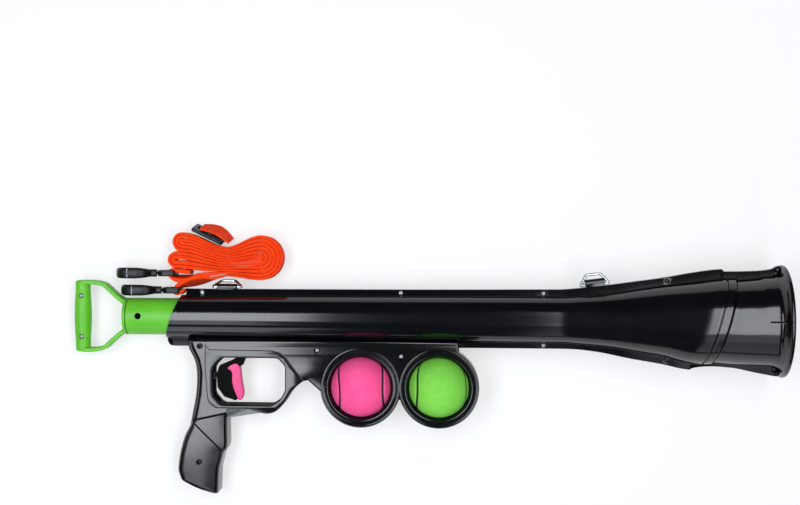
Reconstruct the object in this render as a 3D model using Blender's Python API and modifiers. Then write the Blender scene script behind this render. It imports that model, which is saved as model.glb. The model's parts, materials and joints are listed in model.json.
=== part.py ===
"""Dog ball thrower: a spring launcher lying on its left side, with its balls and its carrying strap.

The launcher is built along +X (tail to muzzle), +Y towards its top flange and +Z towards its right
side. It hangs under an empty that tips it onto the floor, where it stands on the muzzle lip, the
tail and the butt of the grip. The strap lies beside it, on the floor. Sizes are in metres.
"""

import math

import bmesh
import bpy
from mathutils import Matrix, Vector

NAME = "dog_ball_thrower"

# Clearances shared by the whole object
GAP = 0.0003
MERGE = 0.000001
OVERRUN = 0.004
PARTING_GAP = 0.0003
RUNNING_GAP = 0.00035
HOLE_GAP = 0.0003
TURN_STEPS = 28
PIN_SIDES = 12

# Barrel, bell and muzzle: outer radii and stations along the axis
TAIL_RADIUS = 0.0228
BARREL_RADIUS = 0.0245
BELL_RADIUS = 0.0453
THROAT_RADIUS = 0.0425
CONE_RADIUS = 0.0475
LIP_RADIUS = 0.058
WALL = 0.0024
TAIL_LENGTH = 0.012
LAUNCHER_LENGTH = 0.632
BARREL_SHARE = 0.637658
BELL_SHARE = 0.887658
THROAT_SHARE = 0.906646
CONE_SHARE = 0.97943
LIP_SHARE = 0.99288
BARREL_END = BARREL_SHARE * LAUNCHER_LENGTH
BELL_END = BELL_SHARE * LAUNCHER_LENGTH
THROAT_X = THROAT_SHARE * LAUNCHER_LENGTH
CONE_END = CONE_SHARE * LAUNCHER_LENGTH
LIP_START = LIP_SHARE * LAUNCHER_LENGTH
LIP_WALL = 0.0035
TAIL_OVERHANG = 0.010
TAIL_CUT_X = 0.001
TAIL_CUT_ANGLE = math.radians(19.4)
BELL_SWELL_SHARES = ((0.0, 0.0), (0.31, 0.178), (0.449, 0.37), (0.677, 0.611), (0.842, 0.841), (1.0, 1.0))

# Flange that joins the shells, top and bottom
FIN_HALF = 0.0032
BELL_FIN_HALF = 0.00415
FIN_RISE = 0.0068
BELL_FIN_RISE = 0.0077
MUZZLE_FIN_RISE = 0.0085
FIN_STEP = 0.0115
TOP_FIN_START = 0.012
BOTTOM_FIN_START = -0.0062
BOTTOM_FIN_LIP = 0.0085
TOP_STEP_AFTER = 0.007
BOTTOM_STEP_BEFORE = 0.013
TOP_STEP_X = BELL_END + TOP_STEP_AFTER
BOTTOM_STEP_X = BELL_END - BOTTOM_STEP_BEFORE

# Slanted band grooves round the throat
BAND_ANGLE = math.radians(15.5)
BAND_FIRST_BEFORE = 0.0005
BAND_PITCH = 0.0094
BAND_FIRST_X = BELL_END - BAND_FIRST_BEFORE
BAND_SECOND_X = BAND_FIRST_X + BAND_PITCH
BAND_GROOVE_WIDTH = 0.0016
BAND_GROOVE_DEPTH = 0.001

# Draw tube, striker and mainspring
TUBE_RADIUS = 0.0193
TUBE_WALL = 0.002
TUBE_REAR = -0.0505
TUBE_FRONT = 0.215
DRAW_STROKE = 0.12
GUIDE_WIDTH = 0.003
GUIDE_STATIONS = (0.112, 0.192)
PLUG_LENGTH = 0.012
COLLAR_START = 0.222
COLLAR_LENGTH = 0.01
SEAT_RIB_WIDTH = 0.003
SEAT_RIB_RADIUS = 0.0186
ROD_RADIUS = 0.006
STRIKER_AFTER = 0.012
STRIKER_START = BARREL_END + STRIKER_AFTER
STRIKER_FLANGE = 0.008
STRIKER_RADIUS = 0.0202
STRIKER_CUP_LENGTH = 0.018
STRIKER_CUP_RADIUS = 0.0175
STRIKER_CUP_WALL = 0.003
PAD_LENGTH = 0.012
PAD_DISH = 0.004
MAIN_WIRE = 0.0026
MAIN_COIL_RADIUS = 0.0145
MAIN_TURNS = 14
MAIN_POINTS_PER_TURN = 8
CATCH_START = 0.1935
CATCH_LENGTH = 0.0125

# Green D-handle
BAR_CENTRE_X = -0.09935
BAR_RADIUS = 0.00835
BAR_WAIST_RADIUS = 0.0079
BAR_HALF_SPAN = 0.0332
STRIP_THICKNESS = 0.0042
HANDLE_HALF_SPAN = BAR_HALF_SPAN + STRIP_THICKNESS
STRIP_HALF_DEPTH = 0.0083
CORE_HALF_HEIGHT = 0.003
CORE_HALF_DEPTH = 0.0035
YOKE_PLUG_LENGTH = 0.023
YOKE_PLUG_OUT = 0.003
ARM_SEAT_SHARE = 0.67
ARM_SHARES = (
    (0.0, 1.0),
    (0.231, 0.99),
    (0.338, 0.963),
    (0.442, 0.9),
    (0.545, 0.805),
    (0.649, 0.69),
    (0.792, 0.558),
    (0.909, 0.475),
    (1.0, 0.405),
)
TUBE_SCREW_X = -0.0363
HANDLE_SCREW_INSET = 0.0116
HANDLE_SCREW_SPAN = BAR_HALF_SPAN - HANDLE_SCREW_INSET

# Grip frame: plate, guard opening, grip and ball rings
FRAME_REAR_X = 0.0153
FRAME_FRONT_X = 0.2985
FRAME_TOP_Y = -0.025
FRAME_HALF = 0.0125
FRAME_LENGTH = FRAME_FRONT_X - FRAME_REAR_X
GUARD_DROP = 0.0756
FIN_SLOT_FLOOR_Y = -0.0312
LOWER_CONTOUR_SHARES = (
    (0.4315, 0.54),
    (0.393, 0.657),
    (0.361, 0.836),
    (0.324, 0.971),
    (0.2905, 1.0),
    (0.2196, 0.943),
    (0.150, 0.938),
)
OPENING_REAR_X = 0.0406
OPENING_LENGTH = 0.0773
OPENING_TOP_Y = -0.0416
OPENING_HEIGHT = 0.0506
OPENING_CHAMFER = 0.0115
GRIP_LENGTH = 0.1617
GRIP_CHORD = 0.045
GRIP_HALF = 0.0166
GRIP_HEEL_SHARE = (0.178, 1.7596)
GRIP_BACK_SHARES = (
    (0.424, 1.0704),
    (0.227, 1.2901),
    (0.124, 1.4854),
    (0.071, 1.707),
    (0.211, 1.831),
    (0.498, 1.9117),
    (0.871, 1.9869),
    (1, 2),
)
GRIP_FRONT_SHARES = (
    (1.04, 1.9718),
    (1.067, 1.6901),
    (1.178, 1.4741),
    (1.244, 1.4291),
    (1.258, 0.9946),
)
PLATE_ROOT_SHARES = (
    (1.2, 1.1737),
    (0.42, 1.1924),
)
STRAP_BACK_SHARES = (
    (0.43, 1.061),
    (0.54, 0.7272),
    (0.564, 0.4321),
    (0.504, 0.2545),
    (0.36, 0.0856),
)
GRIP_HOLLOW_SHARES = (
    (0.62, 1.061),
    (1.12, 1.0234),
    (1.12, 1.3896),
    (0.98, 1.4741),
    (0.3, 1.4741),
    (0.36, 1.3239),
)
GRIP_BUTT_HOLLOW_SHARES = (
    (0.2, 1.6807),
    (0.95, 1.6807),
    (0.93, 1.8873),
    (0.55, 1.8685),
    (0.3, 1.8122),
)
GRIP_WALL = 0.0032
FRAME_BEVEL = 0.0022
POCKET_WALL = 0.0024

BALL_RADIUS = 0.0315
BALL_SIDE_SHIFT = 0.0015
BALL_CLEARANCE = 0.0003
BALL_REAR_X = 0.1964
BALL_FRONT_X = 0.2781
BALL_Y = -0.072
RING_RADIUS = 0.042
RING_LIP_RADIUS = 0.0395
RING_LIP_RISE = 0.0007
RING_STEPS = 15
LIP_HOLE_RADIUS = 0.0303

# Trigger, sear and their pins
TRIGGER_PIVOT_X = 0.072
TRIGGER_PIVOT_Y = -0.0355
SEAR_PIVOT_X = 0.098
SEAR_PIVOT_Y = -0.0356
PIN_RADIUS = 0.0015
PIN_HALF_LENGTH = 0.0108
PIN_BOSS_RADIUS = 0.0032
PIN_BOSS_REACH = 0.0075
LEVER_HALF = 0.005
SEAR_HALF = 0.0024
SEAR_SLOT_GAP = 0.0008
FINGER_LOW_Z = 0.0037
FINGER_HIGH_Z = 0.0065
LEVER_HEIGHT = 0.0525
LEVER_DEPTH = 0.028
LEVER_SHARES = (
    (0.12, 0.0),
    (0.12, 0.09),
    (-0.02, 0.285),
    (-0.111, 0.318),
    (-0.279, 0.244),
    (-0.607, 0.354),
    (-0.443, 0.429),
    (-0.443, 0.61),
    (-0.357, 0.79),
    (-0.214, 0.977),
    (-0.286, 1.0),
    (-0.714, 0.924),
    (-0.964, 0.733),
    (-1.0, 0.467),
    (-0.893, 0.295),
    (-0.429, 0.19),
    (-0.16, 0.105),
    (-0.16, 0.0),
)
BLADE_SHARES = (
    (-0.586, 0.36),
    (-0.279, 0.2535),
    (-0.125, 0.326),
    (-0.05, 0.606),
    (0.014, 0.834),
    (-0.104, 0.996),
    (-0.193, 0.964),
    (-0.343, 0.789),
    (-0.4285, 0.608),
    (-0.4285, 0.421),
)
LEVER_BOSS_RADIUS = 0.0034
FINGER_TIP_X = 0.082
FINGER_LOW_Y = -0.0309
FINGER_HIGH_Y = -0.0277
LEDGE_START_X = 0.0795
LEDGE_TOP_Y = -0.0314
SEAR_NOSE_START = 0.0772
SEAR_NOSE_END = 0.0835
SEAR_ARM_LOW_Y = -0.0358
SEAR_ARM_TOP_Y = -0.0316
SEAR_BOSS_RADIUS = 0.0033
SEAR_TAIL_END = 0.114
SEAR_TAIL_ROOM = 0.0096
SEAR_TAIL_LOW = 0.003
SEAR_TAIL_THICKNESS = 0.0016
SEAR_SPRING_X = 0.109
SEAR_SPRING_WIRE = 0.0005
SEAR_SPRING_RADIUS = 0.0019
SEAR_SPRING_TURNS = 4
TRIGGER_SPRING_Y = -0.062
TRIGGER_SPRING_WIRE = 0.001
TRIGGER_SPRING_RADIUS = 0.0034
TRIGGER_SPRING_TURNS = 5
LEVER_ROOM_X = 0.0295
LEVER_ROOM_HALF = 0.0056
LEVER_ROOM_TOP_Y = -0.0426
LEVER_ROOM_LOW_Y = -0.0895

# Fasteners
SCREW_HEAD_RADIUS = 0.0026
SCREW_HEAD_HEIGHT = 0.0016
SCREW_SHANK_RADIUS = 0.0013
SCREW_SIDES = 8
BARREL_SCREW_BEFORE = 0.0169
BARREL_SCREW_X = (0.0285, 0.2378, BARREL_END - BARREL_SCREW_BEFORE)
BARREL_SCREW_OUT = 0.0026
LOWER_SCREW_BEFORE = 0.0165
LOWER_SCREW_X = BARREL_END - LOWER_SCREW_BEFORE
BELL_SCREW_BEFORE = 0.0486
BELL_SCREW_X = BELL_END - BELL_SCREW_BEFORE
BELL_SCREW_OUT = 0.00345
MUZZLE_SCREW_BEFORE = 0.0092
MUZZLE_SCREW_X = LAUNCHER_LENGTH - MUZZLE_SCREW_BEFORE
MUZZLE_SCREW_OUT = 0.0019
FRAME_SCREWS = ((0.028, -0.0299), (0.1511, -0.0336), (0.2387, -0.0392))
FRAME_SCREW_SEAT = 0.0035
GRIP_SCREW_SHARE = (0.6156, 1.5900)
FIN_SCREW_SEAT = 0.0012

# Sling rings
RING_WIRE = 0.0014
RING_HEIGHT = 0.0108
RING_TOP_HALF = 0.0074
RING_END_TURN = 0.0085
LUG_RADIUS = 0.0034
LUG_BORE_RADIUS = 0.0018
LUG_END_GAP = 0.0006
FRONT_RING_AFTER = 0.0359
FRONT_RING_X = BARREL_END + FRONT_RING_AFTER
FRONT_RING_HALF = 0.0149
FRONT_RING_TILT = math.radians(7.1)
FRONT_RING_DROOP = math.radians(15)
FRONT_RING_RISE = 0.0026
REAR_RING_X = 0.0547
REAR_RING_HALF = 0.0155
REAR_RING_DROOP = math.radians(58)
REAR_RING_RISE = 0.0018

# Strap: webbing, hank and adjuster
WEBBING_WIDTH = 0.025
WEBBING_THICKNESS = 0.002
HANK_RUNS = 12
WAIST_X = 0.0527
WAIST_Y = 0.05805
WAIST_PITCH = 0.00266
RIGHT_LOBE_X = 0.0892
RIGHT_LOBE_Y = 0.0623
RIGHT_OUTER_RADIUS = 0.0227
RIGHT_PITCH = 0.0042
UPPER_LOBE_X = 0.006
UPPER_LOBE_Y = 0.0789
UPPER_RADII = (0.0089, 0.0053, 0.0017)
LOWER_LOBE_X = -0.0005
LOWER_LOBE_Y = 0.0598
LOWER_RADII = (0.0073, 0.003)
TURN_POINTS = 7
RUN_POINTS = 5
HANK_ORDER = (2, 5, 8, 9, 4, 3, 10, 7, 6, 1)
FIRST_END_ROUTE = (
    (0.0155, 0.0461),
    (0.009, 0.0473),
    (0.002, 0.0487),
)
SECOND_END_ROUTE = (
    (0.0385, 0.0395),
    (0.026, 0.0345),
    (0.014, 0.0317),
    (0.0075, 0.0314),
)
SECOND_END_RETURN = ((0.0062, 0.0252), (0.0098, 0.0284))
END_LIFT = 0.0036
END_LIFT_FULL = 0.034
END_LIFT_REACH = 0.085
EYE_BAR_RADIUS = 0.0025
EYE_WRAP_RADIUS = EYE_BAR_RADIUS + 2 * GAP + 0.5 * WEBBING_THICKNESS
SLIDER_LENGTH = 0.036
SLIDER_WIDTH = 0.0235
SLIDER_THICKNESS = 0.004
SLIDER_BAR = 0.0045
SLIDER_X = 0.03425
SLIDER_Y = 0.0894
SLIDER_TURN = math.radians(-26)
SLIDER_LEAN = math.radians(14)
LOOP_BULGE = 0.0075
LOOP_POINTS = 9
LOOP_STAND_OFF = 0.0018
LOOP_LENGTH = 0.034
LOOP_SHIFT = 0.007

# Snap hooks
HOOK_ONE_BAR = (-0.003, 0.0455)
HOOK_TWO_BAR = (0.002, 0.0275)
HOOK_LENGTH = 0.058
EYE_HEIGHT = 0.032
EYE_DEPTH = 0.011
EYE_THICKNESS = 0.0066
EYE_RAIL = 0.003
SWIVEL_RADIUS = 0.0017
SWIVEL_REACH = 0.003
HOOK_WIRE = 0.0042
HOOK_NECK = 0.007
HOOK_PATH_SHARES = (
    (0.0, 0.0),
    (0.16, 0.0),
    (0.32, 0.38),
    (0.58, 0.44),
    (0.84, 0.34),
    (0.93, 0.0),
    (0.84, -0.34),
    (0.62, -0.44),
)
HOOK_SPAN = 0.022
GATE_RADIUS = 0.0021
GATE_PIVOT_SHARE = (0.17, -0.20)
GATE_TIP_SHARE = (0.59, -0.425)


def clear_scene():
    """Take away whatever the scene holds at the start."""
    for item in list(bpy.data.objects):
        bpy.data.objects.remove(item, do_unlink=True)


def make_collection(name):
    """Make a collection under the scene's own."""
    collection = bpy.data.collections.new(name)
    bpy.context.scene.collection.children.link(collection)
    return collection


def make_material(name, colour, roughness, metallic=0.0):
    """Make a plain surface: colour, roughness and metal share."""
    material = bpy.data.materials.new(name)
    material.use_nodes = True
    shader = material.node_tree.nodes["Principled BSDF"]
    shader.inputs["Base Color"].default_value = (*colour, 1.0)
    shader.inputs["Roughness"].default_value = roughness
    shader.inputs["Metallic"].default_value = metallic
    return material


clear_scene()
PARTS = make_collection(NAME)
CUTTERS = make_collection(NAME + "_cutters")

BLACK_GLOSS = make_material("black_gloss_plastic", (0.008, 0.01, 0.013), 0.12)
BLACK_MATT = make_material("black_matt_plastic", (0.012, 0.012, 0.013), 0.45)
GREEN = make_material("green_plastic", (0.16, 0.57, 0.04), 0.3)
PINK = make_material("pink_plastic", (0.9, 0.09, 0.3), 0.35)
STEEL = make_material("bright_steel", (0.56, 0.57, 0.6), 0.3, 1.0)
SPRING_STEEL = make_material("spring_steel", (0.35, 0.35, 0.36), 0.35, 1.0)
WHITE = make_material("white_nylon", (0.75, 0.75, 0.72), 0.4)
SOFT_GREY = make_material("soft_grey_foam", (0.12, 0.12, 0.12), 0.85)
PINK_RUBBER = make_material("pink_rubber", (0.95, 0.14, 0.38), 0.7)
GREEN_RUBBER = make_material("green_rubber", (0.22, 0.62, 0.07), 0.7)
ORANGE = make_material("orange_webbing", (0.9, 0.09, 0.02), 0.8)


def add_empty(name, parent=None, location=(0, 0, 0), rotation=(0, 0, 0)):
    """A frame that pieces hang under."""
    empty = bpy.data.objects.new(name, None)
    PARTS.objects.link(empty)
    empty.parent = parent
    empty.location = location
    empty.rotation_euler = rotation
    return empty


def place(item, parent, material=None, location=(0, 0, 0), rotation=(0, 0, 0)):
    """Hang a piece under its parent, with its material."""
    item.parent = parent
    item.location = location
    item.rotation_euler = rotation
    if material is not None:
        item.data.materials.clear()
        item.data.materials.append(material)
    return item


def as_cutter(item):
    """Turn a shape into a guide for cutting or joining."""
    for collection in list(item.users_collection):
        collection.objects.unlink(item)
    CUTTERS.objects.link(item)
    item.hide_render = True
    item.display_type = "WIRE"
    return item


def mesh_piece(name, build):
    """Make an object from a function that fills a bmesh."""
    mesh = bpy.data.meshes.new(name)
    shape = bmesh.new()
    build(shape)
    shape.to_mesh(mesh)
    shape.free()
    item = bpy.data.objects.new(name, mesh)
    PARTS.objects.link(item)
    return item


def box(name, low, high):
    """A block between two corners."""
    size = [b - a for a, b in zip(low, high)]
    centre = [0.5 * (a + b) for a, b in zip(low, high)]

    def build(shape):
        bmesh.ops.create_cube(shape, size=1.0)
        bmesh.ops.scale(shape, vec=size, verts=shape.verts)
        bmesh.ops.translate(shape, vec=centre, verts=shape.verts)

    return mesh_piece(name, build)


def cylinder(name, radius, start, end, sides=PIN_SIDES):
    """A round bar between two points."""
    start = Vector(start)
    end = Vector(end)
    along = end - start
    turn = Vector((0, 0, 1)).rotation_difference(along).to_matrix().to_4x4()

    def build(shape):
        bmesh.ops.create_cone(
            shape,
            cap_ends=True,
            segments=sides,
            radius1=radius,
            radius2=radius,
            depth=along.length,
            matrix=Matrix.Translation(0.5 * (start + end)) @ turn,
        )

    return mesh_piece(name, build)


def baked(item, name=None):
    """Replace an object by the mesh that its modifiers or its curve give."""
    bpy.context.view_layer.update()
    evaluated = item.evaluated_get(bpy.context.evaluated_depsgraph_get())
    mesh = bpy.data.meshes.new_from_object(evaluated)
    shape = bmesh.new()
    shape.from_mesh(mesh)
    bmesh.ops.remove_doubles(shape, verts=shape.verts, dist=MERGE)
    shape.to_mesh(mesh)
    shape.free()
    name = name or item.name
    world = item.matrix_world.copy()
    bpy.data.objects.remove(item, do_unlink=True)
    result = bpy.data.objects.new(name, mesh)
    PARTS.objects.link(result)
    result.matrix_world = world
    return result


def extruded(name, points, low, high):
    """A flat outline given its thickness between two heights."""
    curve = bpy.data.curves.new(name + "_outline", "CURVE")
    curve.dimensions = "2D"
    curve.fill_mode = "BOTH"
    curve.resolution_u = 1
    curve.render_resolution_u = 0
    curve.extrude = 0.5 * (high - low)
    spline = curve.splines.new("POLY")
    spline.points.add(len(points) - 1)
    for point, (x, y) in zip(spline.points, points):
        point.co = (x, y, 0, 1)
    spline.use_cyclic_u = True
    item = bpy.data.objects.new(name + "_outline", curve)
    PARTS.objects.link(item)
    item.location.z = 0.5 * (low + high)
    result = baked(item, name)
    shift = Matrix.Translation((0, 0, result.location.z))
    result.data.transform(shift)
    result.location.z = 0
    return result


def turned(name, profile, steps=TURN_STEPS):
    """A profile of (place along X, radius) points, outer side from low X to high X, turned round X."""
    mesh = bpy.data.meshes.new(name)
    corners = [(radius, 0, along) for along, radius in reversed(profile)]
    edges = [(i, i + 1) for i in range(len(corners) - 1)]
    mesh.from_pydata(corners, edges, [])
    item = bpy.data.objects.new(name + "_profile", mesh)
    PARTS.objects.link(item)
    screw = item.modifiers.new("turn", "SCREW")
    screw.axis = "Z"
    screw.steps = steps
    screw.render_steps = steps
    screw.use_merge_vertices = True
    screw.merge_threshold = 10 * MERGE
    screw.use_smooth_shade = True
    result = baked(item, name)
    result.data.transform(Matrix.Rotation(math.radians(90), 4, "Y"))
    return result


def wire(name, points, radius, resolution=1):
    """A round wire along a list of points."""
    curve = bpy.data.curves.new(name + "_line", "CURVE")
    curve.dimensions = "3D"
    curve.fill_mode = "FULL"
    curve.bevel_depth = radius
    curve.bevel_resolution = resolution
    curve.use_fill_caps = True
    curve.render_resolution_u = 0
    spline = curve.splines.new("POLY")
    spline.points.add(len(points) - 1)
    for point, place_ in zip(spline.points, points):
        point.co = (*place_, 1)
    item = bpy.data.objects.new(name + "_line", curve)
    PARTS.objects.link(item)
    return baked(item, name)


def bevel(item, width, segments=1, angle=math.radians(40)):
    """Round the sharp edges of a piece."""
    modifier = item.modifiers.new("edges", "BEVEL")
    modifier.width = width
    modifier.segments = segments
    modifier.limit_method = "ANGLE"
    modifier.angle_limit = angle
    return item


def combine(item, other, operation):
    """Cut from, join to, or keep what is shared with another shape."""
    if other.name not in CUTTERS.objects:
        as_cutter(other)
    modifier = item.modifiers.new(operation.lower(), "BOOLEAN")
    modifier.operation = operation
    modifier.solver = "EXACT"
    modifier.object = other
    return item


def cut(item, *others):
    """Take the other shapes out of a piece."""
    for other in others:
        combine(item, other, "DIFFERENCE")
    return item


def join(item, *others):
    """Join the other shapes to a piece."""
    for other in others:
        combine(item, other, "UNION")
    return item


def smooth(item, angle=math.radians(35)):
    """Shade a round piece smooth between its sharp edges."""
    item.data.shade_smooth()
    item.data.set_sharp_from_angle(angle=angle)
    return item


def arc(centre, radius, start, end, count):
    """Points on an arc, ends included."""
    points = []
    for i in range(count):
        angle = start + (end - start) * i / (count - 1)
        points.append((centre[0] + radius * math.cos(angle), centre[1] + radius * math.sin(angle)))
    return points


def scaled(shares, origin, width, height):
    """Outline points from shares of a width along +X and a height along -Y."""
    return [(origin[0] + a * width, origin[1] - b * height) for a, b in shares]


def grip_points(shares):
    """Outline points of the grip from shares of its chord and height; a height over 1 is below the guard."""
    points = []
    for along, drop in shares:
        beside = min(drop, 1) * GUARD_DROP
        below = max(drop - 1, 0) * (GRIP_LENGTH - GUARD_DROP)
        points.append((along * GRIP_CHORD, FRAME_TOP_Y - beside - below))
    return points


def helix(start, end, radius, turns, per_turn, along="X"):
    """Points of a coil between two places on an axis through the origin, ground flat at its ends."""
    points = []
    count = int(turns * per_turn)
    for i in range(count + 1):
        share = i / count
        angle = 2 * math.pi * turns * share
        reach = start + (end - start) * share
        if along == "X":
            points.append((reach, radius * math.cos(angle), radius * math.sin(angle)))
        else:
            points.append((radius * math.cos(angle), reach, radius * math.sin(angle)))
    return points


def outer_radius(x):
    """Radius of the barrel, bell and muzzle at a station."""
    line = outer_profile()
    for (x0, r0), (x1, r1) in zip(line, line[1:]):
        if x0 <= x <= x1:
            return r0 + (r1 - r0) * (x - x0) / (x1 - x0)
    return line[0][1]


def outer_profile():
    """Stations of the outside, tail to lip, as (place along X, radius)."""
    line = [(-TAIL_OVERHANG, TAIL_RADIUS), (TAIL_LENGTH, TAIL_RADIUS), (BARREL_END, BARREL_RADIUS)]
    for along, swell in BELL_SWELL_SHARES[1:]:
        x = BARREL_END + along * (BELL_END - BARREL_END)
        line.append((x, BARREL_RADIUS + swell * (BELL_RADIUS - BARREL_RADIUS)))
    line.append((THROAT_X, THROAT_RADIUS))
    line.append((CONE_END, CONE_RADIUS))
    line.append((0.5 * (CONE_END + LIP_START), 0.5 * (CONE_RADIUS + LIP_RADIUS)))
    line.append((LIP_START, LIP_RADIUS))
    line.append((LAUNCHER_LENGTH, LIP_RADIUS))
    return line


def bore_profile():
    """Stations of the inside: guide ribs for the tube, a groove for the collar, then the bell."""
    guide = TUBE_RADIUS + RUNNING_GAP
    line = [(-TAIL_OVERHANG - OVERRUN, guide), (TAIL_LENGTH, guide)]
    line.append((TAIL_LENGTH, outer_radius(TAIL_LENGTH) - WALL))
    for station in GUIDE_STATIONS:
        inside = outer_radius(station) - WALL
        line.append((station, inside))
        line.append((station, guide))
        line.append((station + GUIDE_WIDTH, guide))
        line.append((station + GUIDE_WIDTH, inside))
    rear_rib = COLLAR_START - GAP - SEAT_RIB_WIDTH
    front_rib = COLLAR_START + COLLAR_LENGTH + GAP
    for station in (rear_rib, front_rib):
        inside = outer_radius(station) - WALL
        line.append((station, inside))
        line.append((station, SEAT_RIB_RADIUS))
        line.append((station + SEAT_RIB_WIDTH, SEAT_RIB_RADIUS))
        line.append((station + SEAT_RIB_WIDTH, inside))
    for x, radius in outer_profile()[2:-4]:
        line.append((x, radius - WALL))
    line.append((THROAT_X, THROAT_RADIUS - WALL))
    line.append((CONE_END, CONE_RADIUS - WALL))
    line.append((LIP_START, CONE_RADIUS + WALL))
    line.append((LAUNCHER_LENGTH + OVERRUN, LIP_RADIUS - LIP_WALL + OVERRUN))
    return line


def fin_outline():
    """Outline of the flange, top edge from tail to muzzle and back along the bottom."""
    lip_end = 0.5 * (LIP_START + LAUNCHER_LENGTH)
    top = [(TOP_FIN_START, 0), (TOP_FIN_START, outer_radius(TOP_FIN_START) + FIN_RISE)]
    top.append((BARREL_END, BARREL_RADIUS + FIN_RISE))
    for along, swell in BELL_SWELL_SHARES[1:]:
        x = BARREL_END + along * (BELL_END - BARREL_END)
        rise = FIN_RISE + along * (BELL_FIN_RISE - FIN_RISE)
        top.append((x, BARREL_RADIUS + swell * (BELL_RADIUS - BARREL_RADIUS) + rise))
    top.append((TOP_STEP_X, BELL_RADIUS + BELL_FIN_RISE))
    top.append((TOP_STEP_X + FIN_STEP, THROAT_RADIUS + MUZZLE_FIN_RISE))
    top.append((CONE_END, CONE_RADIUS + FIN_RISE))
    top.append((lip_end, LIP_RADIUS - WALL))
    bottom_lip = TAIL_RADIUS + FIN_RISE + 0.5 * FIN_HALF
    bottom = [(lip_end, -LIP_RADIUS + WALL), (CONE_END, -CONE_RADIUS - BELL_FIN_RISE)]
    bottom.append((BOTTOM_STEP_X + FIN_STEP, -THROAT_RADIUS - BELL_FIN_RISE + WALL + WALL))
    step_share = (BOTTOM_STEP_X - BARREL_END) / (BELL_END - BARREL_END)
    bottom.append((BOTTOM_STEP_X, -outer_radius(BOTTOM_STEP_X) - BELL_FIN_RISE))
    for along, swell in reversed(BELL_SWELL_SHARES[1:-1]):
        if along > step_share:
            continue
        x = BARREL_END + along * (BELL_END - BARREL_END)
        rise = FIN_RISE + along * (BELL_FIN_RISE - FIN_RISE)
        bottom.append((x, -BARREL_RADIUS - swell * (BELL_RADIUS - BARREL_RADIUS) - rise))
    bottom.append((BARREL_END, -BARREL_RADIUS - FIN_RISE + FIN_HALF - WALL))
    bottom.append((0, -bottom_lip))
    bottom.append((BOTTOM_FIN_START, -bottom_lip + WALL))
    bottom.append((BOTTOM_FIN_START, -bottom_lip + BOTTOM_FIN_LIP))
    bottom.append((0, 0))
    return top + bottom


def tip_angles():
    """Pitch and roll of the launcher lying on its lip, its tail and the heel of its grip."""
    pitch = math.atan((LIP_RADIUS - TAIL_RADIUS) / (LAUNCHER_LENGTH - TAIL_CUT_X))
    heel_x, heel_y = grip_points([GRIP_HEEL_SHARE])[0]
    height = TAIL_RADIUS * math.cos(pitch) + (heel_x - TAIL_CUT_X) * math.sin(pitch)
    roll = math.asin((height - GRIP_HALF) / -heel_y)
    return pitch, roll


PITCH, ROLL = tip_angles()
REST = add_empty("launcher_rest", rotation=(ROLL, -PITCH, 0))
HANDLE = add_empty("handle_frame", REST)
TRIGGER = add_empty("trigger_frame", REST, (TRIGGER_PIVOT_X, TRIGGER_PIVOT_Y, 0))
SEAR = add_empty("sear_frame", REST, (SEAR_PIVOT_X, SEAR_PIVOT_Y, 0))
STRAP = add_empty("strap_frame")


def screw_body(name, parent, seat, length, head_radius=SCREW_HEAD_RADIUS):
    """A pan-head screw along +Z: seat is the underside of its head, length its shank."""
    x, y, z = seat
    profile = [
        (-length, 0),
        (-length + SCREW_SHANK_RADIUS, SCREW_SHANK_RADIUS),
        (0, SCREW_SHANK_RADIUS),
        (0, head_radius),
        (SCREW_HEAD_HEIGHT, 0.8 * head_radius),
        (SCREW_HEAD_HEIGHT, 0),
    ]
    item = turned(name, profile, SCREW_SIDES)
    smooth(item)
    return place(item, parent, STEEL, (x, y, z), (0, math.radians(-90), 0))


def screw_hole(x, y, seat, depth, reach, head_radius=SCREW_HEAD_RADIUS):
    """Cutters for a screw: a hole for its shank and a recess for its head, up to a height."""
    shank = cylinder(
        "screw_hole",
        SCREW_SHANK_RADIUS + HOLE_GAP,
        (x, y, seat - depth),
        (x, y, seat + OVERRUN),
        SCREW_SIDES,
    )
    recess = cylinder(
        "screw_recess",
        head_radius + HOLE_GAP,
        (x, y, seat),
        (x, y, reach),
        SCREW_SIDES,
    )
    return [place(shank, REST), place(recess, REST, None, (0, 0, -GAP))]


def fin_screws():
    """Places of the screws along the flange: name, x, y, half thickness there."""
    rows = []
    for i, x in enumerate(BARREL_SCREW_X):
        rows.append((f"barrel_screw_{i + 1}", x, outer_radius(x) + BARREL_SCREW_OUT, FIN_HALF))
    x = LOWER_SCREW_X
    rows.append(("barrel_screw_4", x, -outer_radius(x) - BARREL_SCREW_OUT, FIN_HALF))
    radius = outer_radius(BELL_SCREW_X) + BELL_SCREW_OUT
    for name, sign in (("top", 1), ("bottom", -1)):
        rows.append((f"bell_screw_{name}", BELL_SCREW_X, sign * radius, BELL_FIN_HALF))
    radius = CONE_RADIUS + MUZZLE_SCREW_OUT
    for name, sign in (("top", 1), ("bottom", -1)):
        rows.append((f"muzzle_screw_{name}", MUZZLE_SCREW_X, sign * radius, BELL_FIN_HALF))
    return rows


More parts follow.
